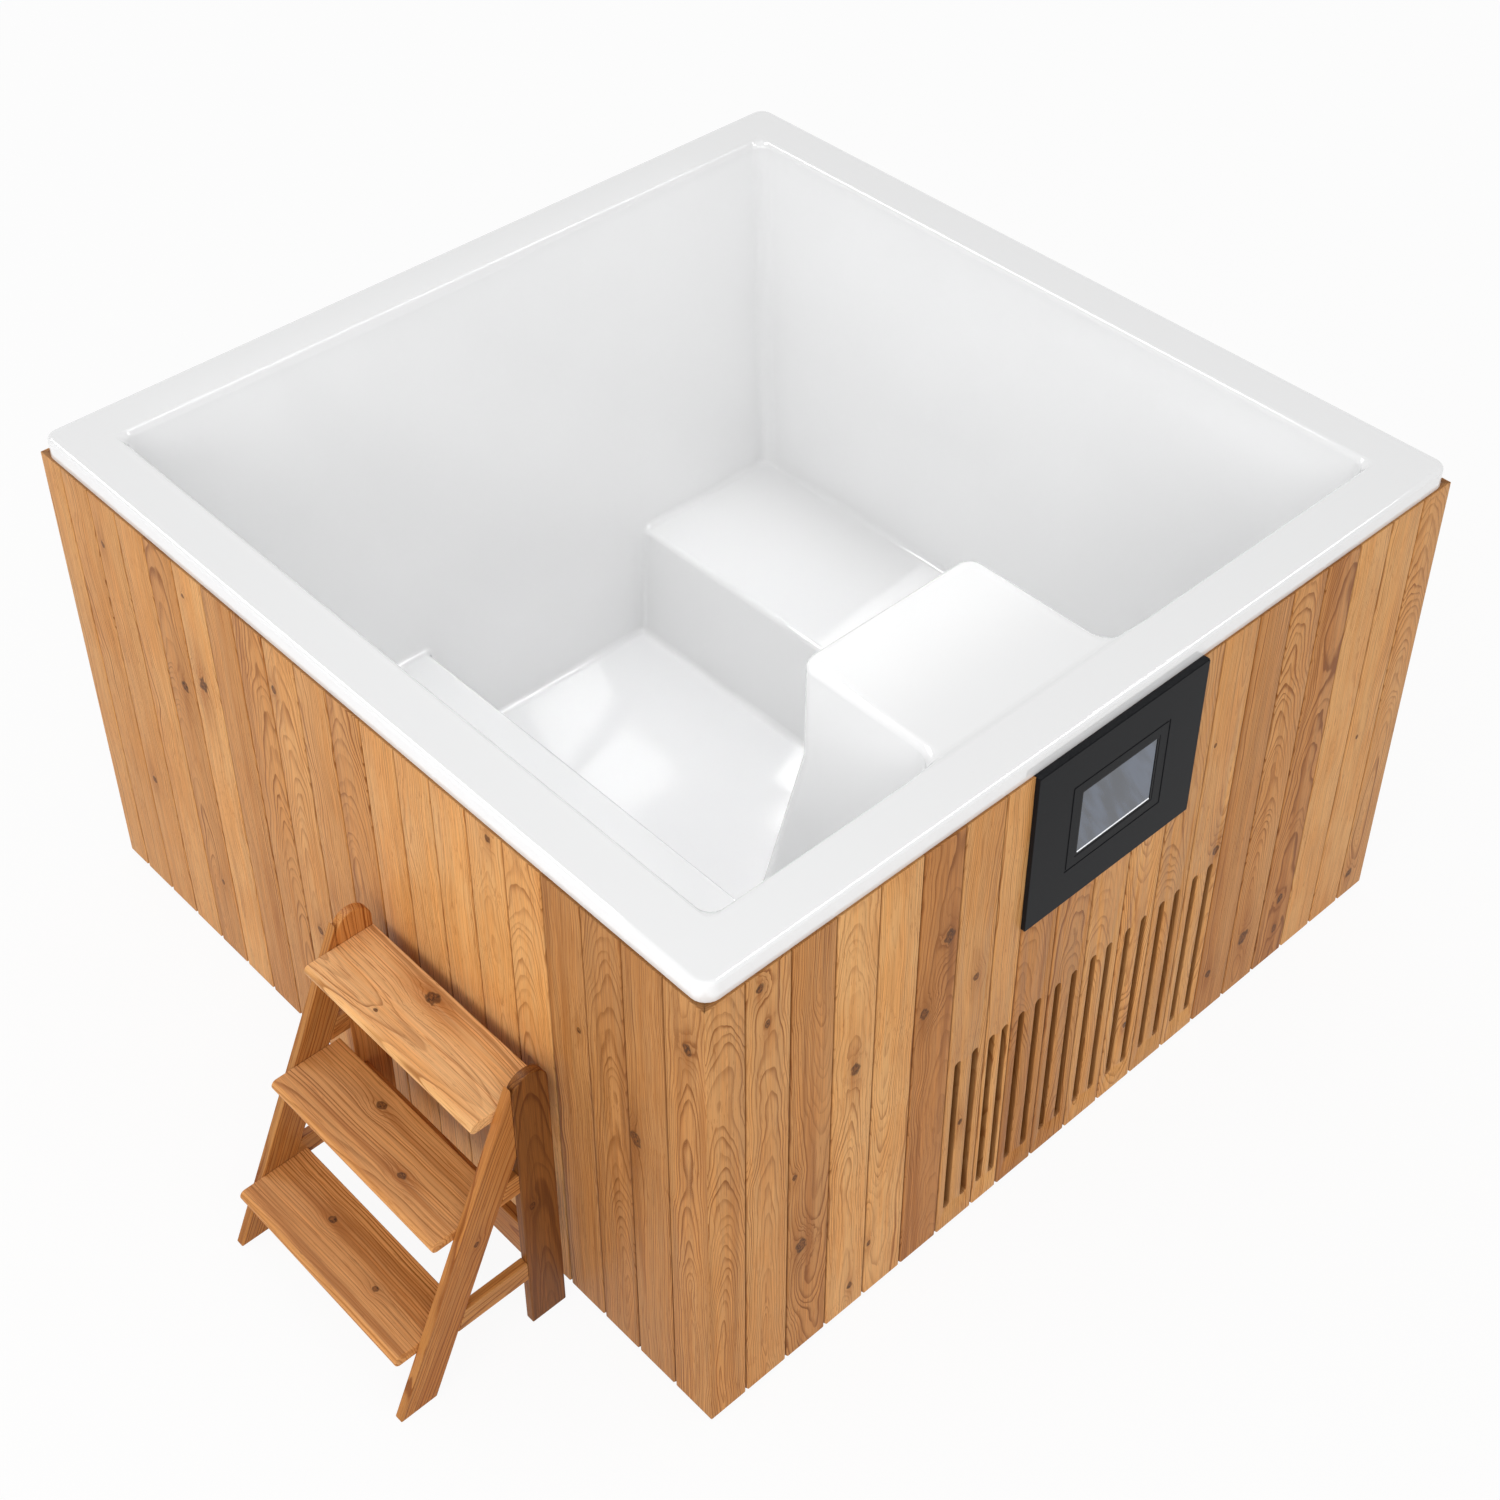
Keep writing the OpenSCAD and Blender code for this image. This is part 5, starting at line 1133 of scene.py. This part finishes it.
def highlight_strip_mesh():
    """Pale strip along the screen's lower edge, inside the bezel: a painted highlight for the glint on the
    glass's edge.
    """
    low = FASCIA_Z - BEZEL_H + BEZEL_ACROSS
    outline = [(low, SCREEN_FACE + 0.2), (low, SCREEN_FACE - 0.8), (low + 0.4, SCREEN_FACE - 1.0),
               (low + HIGHLIGHT_STRIP_H - 0.6, SCREEN_FACE - 0.5), (low + HIGHLIGHT_STRIP_H, SCREEN_FACE + 0.2)]
    half = SCREEN_W - 0.6
    return rounded(plank(outline, lambda z, y, d: (d - half, y, z), 2 * half), 0.0002, 2)


def coating_finish(name, tint, rough=0.42, grit=1800.0):
    """Powder coating with a fine dimpled grain."""
    f = Finish(name)
    at = f.place()
    fine = f.noise(at, grit, 2.0, 0.6)
    base = f.spread(f.math("MULTIPLY_ADD", fine, 0.4, f.mul(f.noise(at, 9.0), 0.6)), tint, 0.14)
    f.bump(fine, 0.00012, 0.5)
    return f.surface(Base_Color=base, Roughness=rough, IOR=1.5, Specular_IOR_Level=0.06)


def glass_finish(s):
    """Dark display glass with painted reflections: faint paler streaks run across it, and its roughness
    follows them.
    """
    f = Finish("display_glass")
    x, _, z = f.split(f.place())
    slanted = f.math("MULTIPLY_ADD", z, 0.55, x)
    painted_reflection_streaks = f.noise(f.join(f.mul(slanted, 34.0), 0.0, f.mul(z, 7.0)), 1.0, 2.0, 0.45, 0.3)
    # Painted reflection: the glass is paler where the streaks run
    base = f.mix(f.ramp(painted_reflection_streaks, 0.38, 0.68), times(s.glass, 0.75), times(s.glass, 1.9))
    return f.surface(Base_Color=base, Roughness=f.ramp(painted_reflection_streaks, 0.3, 0.7, 0.07, 0.16), IOR=1.52,
                     Coat_Weight=0.25, Coat_Roughness=0.04)


# Painted highlight that glows though it is no lamp: the strip stands for the glint along the glass's lower
# edge
def highlight_strip_finish(s):
    f = Finish("painted_highlight_strip")
    base = f.mix(f.noise(f.place(), 120.0), times(s.strip, 0.94), s.strip)
    return f.surface(Base_Color=base, Roughness=0.25, IOR=1.5, Emission_Color=(1, 1, 1),
                     Emission_Strength=0.25)


# ---------------------------------------------------------------- finishes of the carried parts


def timber_finish(name, tint):
    """Sawn spruce: streaks that run upwards and soft clouds."""
    f = Finish(name)
    at = f.place()
    warp = f.vector("ADD", at, f.vector("SCALE", f.noise(at, 2.0, out="Color"), scale=0.03))
    lines = f.noise(f.vector("MULTIPLY", warp, (160.0, 160.0, 4.0)), 1.0, 3.0)
    share = f.ramp(f.math("MULTIPLY_ADD", lines, 0.7, f.mul(f.noise(at, 9.0, 3.0), 0.3)), 0.35, 0.65)
    base = f.spread(share, tint, 0.16)
    f.bump(lines, 0.0003, 0.5)
    return f.surface(Base_Color=base, Roughness=f.math("MULTIPLY_ADD", lines, 0.15, 0.6),
                     Specular_IOR_Level=0.3)


def moulded_finish(name, tint, rough, grit=900.0, depth=0.00008):
    """Moulded plastic or rubber with a fine skin."""
    f = Finish(name)
    at = f.place()
    fine, slow = f.noise(at, grit), f.noise(at, 14.0)
    base = f.spread(f.math("MULTIPLY_ADD", slow, 0.7, f.mul(fine, 0.3)), tint, 0.09)
    f.bump(fine, depth, 0.5)
    return f.surface(Base_Color=base, Roughness=f.math("MULTIPLY_ADD", slow, 0.12, rough), IOR=1.48)


def metal_finish(name, tint, rough, stretch=(1.0, 1.0, 1.0), scale=400.0):
    """Metal with brushing or a cast skin, and a little tarnish."""
    f = Finish(name)
    at = f.place()
    lines = f.noise(f.vector("MULTIPLY", at, times(stretch, scale)), 1.0, 3.0)
    tarnish = f.noise(at, 18.0, 4.0, 0.6)
    base = f.spread(f.math("MULTIPLY_ADD", tarnish, 0.8, f.mul(lines, 0.2)), tint, 0.16)
    f.bump(lines, 0.00005, 0.5)
    return f.surface(Base_Color=base, Metallic=1.0, Roughness=f.math("MULTIPLY_ADD", tarnish, 0.22, rough))


def spangle_finish(name, tint):
    """Hot-dip zinc with its crystal flowers."""
    f = Finish(name)
    cells = f.node("ShaderNodeTexVoronoi", {"feature": "F1"}, Vector=f.place(), Scale=85.0, Randomness=1.0)
    shine = f.split(cells.outputs["Color"])[0]
    base = f.spread(shine, tint, 0.14)
    return f.surface(Base_Color=base, Metallic=1.0, Roughness=f.math("MULTIPLY_ADD", shine, 0.18, 0.34))


def foam_finish(name, tint):
    """Cut rigid foam with open cells."""
    f = Finish(name)
    voronoi = f.node("ShaderNodeTexVoronoi", {"feature": "F1"}, Vector=f.place(), Scale=620.0)
    cells = voronoi.outputs["Distance"]
    slow = f.noise(f.place(), 6.0, 3.0)
    base = f.spread(f.math("MULTIPLY_ADD", slow, 0.6, f.mul(cells, 0.4)), tint, 0.10)
    f.bump(cells, 0.0006, 0.8)
    return f.surface(Base_Color=base, Roughness=0.9, Specular_IOR_Level=0.2)


def paper_finish(name, tint):
    """Pleated filter paper with fibres."""
    f = Finish(name)
    fibres = f.noise(f.vector("MULTIPLY", f.place(), (900.0, 900.0, 260.0)), 1.0, 4.0, 0.7)
    base = f.spread(fibres, tint, 0.12)
    f.bump(fibres, 0.0002, 0.6)
    return f.surface(Base_Color=base, Roughness=0.85)


# For each slot its kind of finish, its colour and what that kind asks for next
SLOT_FINISHES = {
    "acrylic": (moulded_finish, (0.80, 0.81, 0.82), 0.10, 60.0, 0.0001),
    "thermo_wood": (timber_finish, (0.45, 0.22, 0.09)),
    "stool_wood": (timber_finish, (0.50, 0.25, 0.10)),
    "softwood": (timber_finish, (0.62, 0.43, 0.24)),
    "base_sheet": (coating_finish, (0.11, 0.11, 0.115), 0.6, 500.0),
    "rubber": (moulded_finish, (0.025, 0.025, 0.026), 0.72),
    "foam": (foam_finish, (0.84, 0.74, 0.42)),
    "black_steel": (coating_finish, (0.022, 0.023, 0.025), 0.45),
    "panel_black": (moulded_finish, (0.030, 0.033, 0.036), 0.46, 1600.0),
    "screen_glass": (coating_finish, (0.10, 0.12, 0.15), 0.1),
    "zinc_steel": (spangle_finish, (0.62, 0.64, 0.66)),
    "fin_alloy": (metal_finish, (0.78, 0.79, 0.80), 0.28, (1.0, 1.0, 0.1)),
    "exchanger_shell": (moulded_finish, (0.10, 0.12, 0.15), 0.38),
    "copper": (metal_finish, (0.78, 0.36, 0.20), 0.22, (1.0, 1.0, 1.0), 160.0),
    "motor_paint": (coating_finish, (0.045, 0.10, 0.20), 0.4, 700.0),
    "white_plastic": (moulded_finish, (0.78, 0.79, 0.79), 0.28),
    "paper": (paper_finish, (0.78, 0.76, 0.68)),
    "lamp_steel": (metal_finish, (0.66, 0.67, 0.69), 0.2, (1.0, 1.0, 0.04), 900.0),
    "valve_brass": (metal_finish, (0.72, 0.50, 0.22), 0.28, (1.0, 1.0, 1.0), 260.0),
    "lever_red": (moulded_finish, (0.50, 0.03, 0.025), 0.35, 700.0),
}


# ---------------------------------------------------------------- studio

FLOOR_R = 14
FLOOR_WHITE = 0.92
TOP_SPREAD = 6
CAMERA_AT = (-2.101, -2.282, 3.243)
CAMERA_DOWN, CAMERA_TURN = 39.29, -42.93
LENS, SENSOR, SHIFT_Y = 58.0, 36.0, -0.12


def studio_floor(s):
    """Pale floor that mirrors and camera see nearly white, with the shadow still on it."""
    f = Finish("studio_floor")
    f.surface(Base_Color=f.mix(f.noise(f.place(), 0.6), s.floor, times(s.floor, 0.99)), Roughness=0.9,
              Specular_IOR_Level=0.1)
    light = f.node("ShaderNodeEmission", Color=(1, 1, 1), Strength=1.0)
    mixed = f.node("ShaderNodeMixShader")
    white = f.mul(f.background_rays(), FLOOR_WHITE)
    for i, value in enumerate((white, f.shader.outputs[0], light.outputs[0])):
        f.feed(mixed.inputs[i], value)
    f.feed(f.tree.nodes["Material Output"].inputs["Surface"], mixed.outputs[0])
    bm = bmesh.new()
    bmesh.ops.create_circle(bm, cap_ends=True, segments=64, radius=FLOOR_R)
    floor = put("studio_floor", close_mesh(bm, "studio_floor"), f.material)


def studio_world(s):
    world = bpy.data.worlds.new("studio")
    bpy.context.scene.world = world
    world.use_nodes = True
    n = Nodes(world.node_tree)
    back = n.tree.nodes["Background"].inputs
    n.feed(back["Color"], (1, 1, 1))
    n.feed(back["Strength"], n.ramp(n.background_rays(), 0.0, 1.0, s.sky, 1.0))


def area_lamp(name, at, target, size, watts):
    """A soft lamp at a place in metres, turned to its target, or straight down without one."""
    data = bpy.data.lights.new(name, "AREA")
    data.shape = "RECTANGLE"
    data.size, data.size_y = size
    data.energy = watts
    lamp = bpy.data.objects.new(name, data)
    bpy.context.collection.objects.link(lamp)
    lamp.location = at
    if target:
        lamp.rotation_euler = (Vector(target) - Vector(at)).to_track_quat("-Z", "Y").to_euler()
    return lamp


def studio_lamps(s):
    """Lamps that light the tub, and three that only its gloss shows."""
    top = area_lamp("top_lamp", (-0.04, 0.06, 3.6), None, (1.2, 1.25), s.top)
    top.data.spread = math.radians(TOP_SPREAD)
    top.visible_glossy = False
    area_lamp("side_lamp", (-4.6, -1.2, 2.6), (0, 0, 0.5), (2.4, 2.4), s.side)
    area_lamp("fill_lamp", (-2.9, -3.6, 3.3), (0, 0, 0.4), (2.2, 2.2), s.fill)
    for name, at, size, watts in (("strip_right", (1.8, -2.1, 3.3), (2.8, 1.2), s.strip * 2.8 * 1.2),
                                  ("strip_back", (-0.9, 2.2, 3.2), (1.2, 2.8), s.strip * 1.2 * 2.8),
                                  ("patch_lamp", (1.865, -0.835, 3.3), (0.37, 0.26), s.patch)):
        area_lamp(name, at, None, size, watts).visible_diffuse = False


def studio_camera():
    data = bpy.data.cameras.new("camera")
    data.lens, data.sensor_width, data.sensor_fit, data.shift_y = LENS, SENSOR, "HORIZONTAL", SHIFT_Y
    camera = bpy.data.objects.new("camera", data)
    bpy.context.collection.objects.link(camera)
    camera.location = CAMERA_AT
    camera.rotation_euler = Euler((math.radians(90 - CAMERA_DOWN), 0, math.radians(CAMERA_TURN)), "XYZ")
    bpy.context.scene.camera = camera


# ---------------------------------------------------------------- operators


class TUB_OT_basin(bpy.types.Operator):
    """Build the acrylic shell with its rim, walls, bench, step, footwell and block"""
    bl_idname = "plunge.basin"
    bl_label = "Basin"

    def execute(self, context):
        s = context.scene.plunge_basin
        piece("basin", basin_mesh(s), acrylic_finish(s), "tub", "acrylic", "basin_shell")
        return {"FINISHED"}


class TUB_OT_cladding(bpy.types.Operator):
    """Stand the boards round the tub, with slots and the panel's opening in the front"""
    bl_idname = "plunge.cladding"
    bl_label = "Cladding"

    def execute(self, context):
        s = context.scene.plunge_cladding
        wood = board_finish("board_wood", s.light, s.dark)
        rng = random.Random(s.seed)
        front, side = front_joints(), side_joints()
        quarter = Matrix.Rotation(math.pi / 2, 4, "Z")
        mirror = Matrix.Diagonal((-1, 1, 1, 1))
        for name, joints, known, cutters, turned in (
                ("front", front, (FRONT_LOOKS, FRONT_KNOTS), front_cutters(front, s), Matrix()),
                ("left", side, (LEFT_LOOKS, LEFT_KNOTS), None, mirror @ quarter),
                ("right", side, (), hole_cutters(RIGHT_HOLES), quarter),
                ("back", side, (), None, Matrix.Rotation(math.pi, 4, "Z"))):
            mesh = cladding_mesh(s, joints, board_looks(joints, rng, *known), cutters)
            mesh.transform(turned)
            if turned.determinant() < 0:
                mesh.flip_normals()
            piece("boards_" + name, mesh, wood, "tub", "thermo_wood", "cladding_" + name)
        return {"FINISHED"}


class TUB_OT_stool(bpy.types.Operator):
    """Build the step stool from its stiles, legs, treads, braces and rails"""
    bl_idname = "plunge.stool"
    bl_label = "Stool"

    def execute(self, context):
        s = context.scene.plunge_stool
        rng = random.Random(STOOL_SEED)
        tread_wood = board_finish("tread_wood", s.tread, s.tread_ring, 6.0, 1.15, 400, 0.0, 0.45)
        frame_wood = board_finish("frame_wood", s.frame, s.frame_ring, 6.2, 1.35, 400, 0.0, 0.5)
        for name, planks, wood, node in (("stiles", stiles, frame_wood, "stool_front_stiles"),
                                         ("legs", legs, frame_wood, "stool_rear_legs"),
                                         ("treads", treads, tread_wood, "stool_treads"),
                                         ("braces", braces, frame_wood, "stool_side_braces"),
                                         ("rails", rails, frame_wood, "stool_rear_rails")):
            mesh = join_meshes(list(planks(s, rng)), name)
            piece("stool_" + name + "_finished", mesh, wood, "stool", "stool_wood", node)
        return {"FINISHED"}


class TUB_OT_panel(bpy.types.Operator):
    """Build the control panel, the frame round its screen, the glass and the pale strip painted as a
    highlight along its lower edge
    """
    bl_idname = "plunge.panel"
    bl_label = "Control panel"

    def execute(self, context):
        s = context.scene.plunge_panel
        coat = coating_finish("panel_coating", s.body)
        piece("panel_plate", fascia_mesh(s), coat, "tub", "panel_black", "control_fascia")
        frame_coat = coating_finish("bezel_coating", times(s.body, 0.7), 0.3)
        piece("panel_bezel", bezel_mesh(), frame_coat, "tub", "panel_black", "screen_bezel")
        piece("panel_glass", screen_mesh(), glass_finish(s), "tub", "screen_glass", "touch_screen")
        piece("panel_painted_highlight", highlight_strip_mesh(), highlight_strip_finish(s), "tub", "screen_glass")
        return {"FINISHED"}


class TUB_OT_machinery(bpy.types.Operator):
    """Give every carried part of the frame, the machinery, the pipes and the fittings its own finish"""
    bl_idname = "plunge.machinery"
    bl_label = "Frame and machinery"

    def execute(self, context):
        slots = {part["node"]: part["material_slot"] for part in frame["record"]["subparts"]}
        made = {}
        for slot in sorted(set(slots.values())):
            build, *values = SLOT_FINISHES[slot]
            made[slot] = build("carried_" + slot, *values)
        for node, obj in frame["nodes"].items():
            for material_slot in obj.material_slots:
                material_slot.material = made[slots[node]]
        return {"FINISHED"}


class TUB_OT_studio(bpy.types.Operator):
    """Set the floor, the lamps, the surroundings and the camera"""
    bl_idname = "plunge.studio"
    bl_label = "Studio"

    def execute(self, context):
        s = context.scene.plunge_studio
        studio_floor(s)
        studio_world(s)
        studio_lamps(s)
        studio_camera()
        context.scene.view_settings.view_transform = "Standard"
        return {"FINISHED"}


# ---------------------------------------------------------------- panel and start

SETTINGS = {"plunge_basin": BasinSettings, "plunge_cladding": CladdingSettings, "plunge_stool": StoolSettings,
            "plunge_panel": PanelSettings, "plunge_studio": StudioSettings}
OPERATORS = (TUB_OT_basin, TUB_OT_cladding, TUB_OT_stool, TUB_OT_panel, TUB_OT_machinery, TUB_OT_studio)


class TUB_PT_steps(bpy.types.Panel):
    """Lists the steps that dress the tub"""
    bl_label = "Plunge Tub"
    bl_space_type = "VIEW_3D"
    bl_region_type = "UI"
    bl_category = "Plunge Tub"

    def draw(self, context):
        for operator in OPERATORS:
            self.layout.operator(operator.bl_idname)


CLASSES = (*SETTINGS.values(), *OPERATORS, TUB_PT_steps)


def register():
    for cls in CLASSES:
        bpy.utils.register_class(cls)
    for name, group in SETTINGS.items():
        setattr(bpy.types.Scene, name, PointerProperty(type=group))


def unregister():
    for name in SETTINGS:
        delattr(bpy.types.Scene, name)
    for cls in reversed(CLASSES):
        bpy.utils.unregister_class(cls)


def main():
    register()
    for step in (bpy.ops.plunge.basin, bpy.ops.plunge.cladding, bpy.ops.plunge.stool, bpy.ops.plunge.panel,
                 bpy.ops.plunge.machinery, bpy.ops.plunge.studio):
        step()


if __name__ == "__main__":
    main()
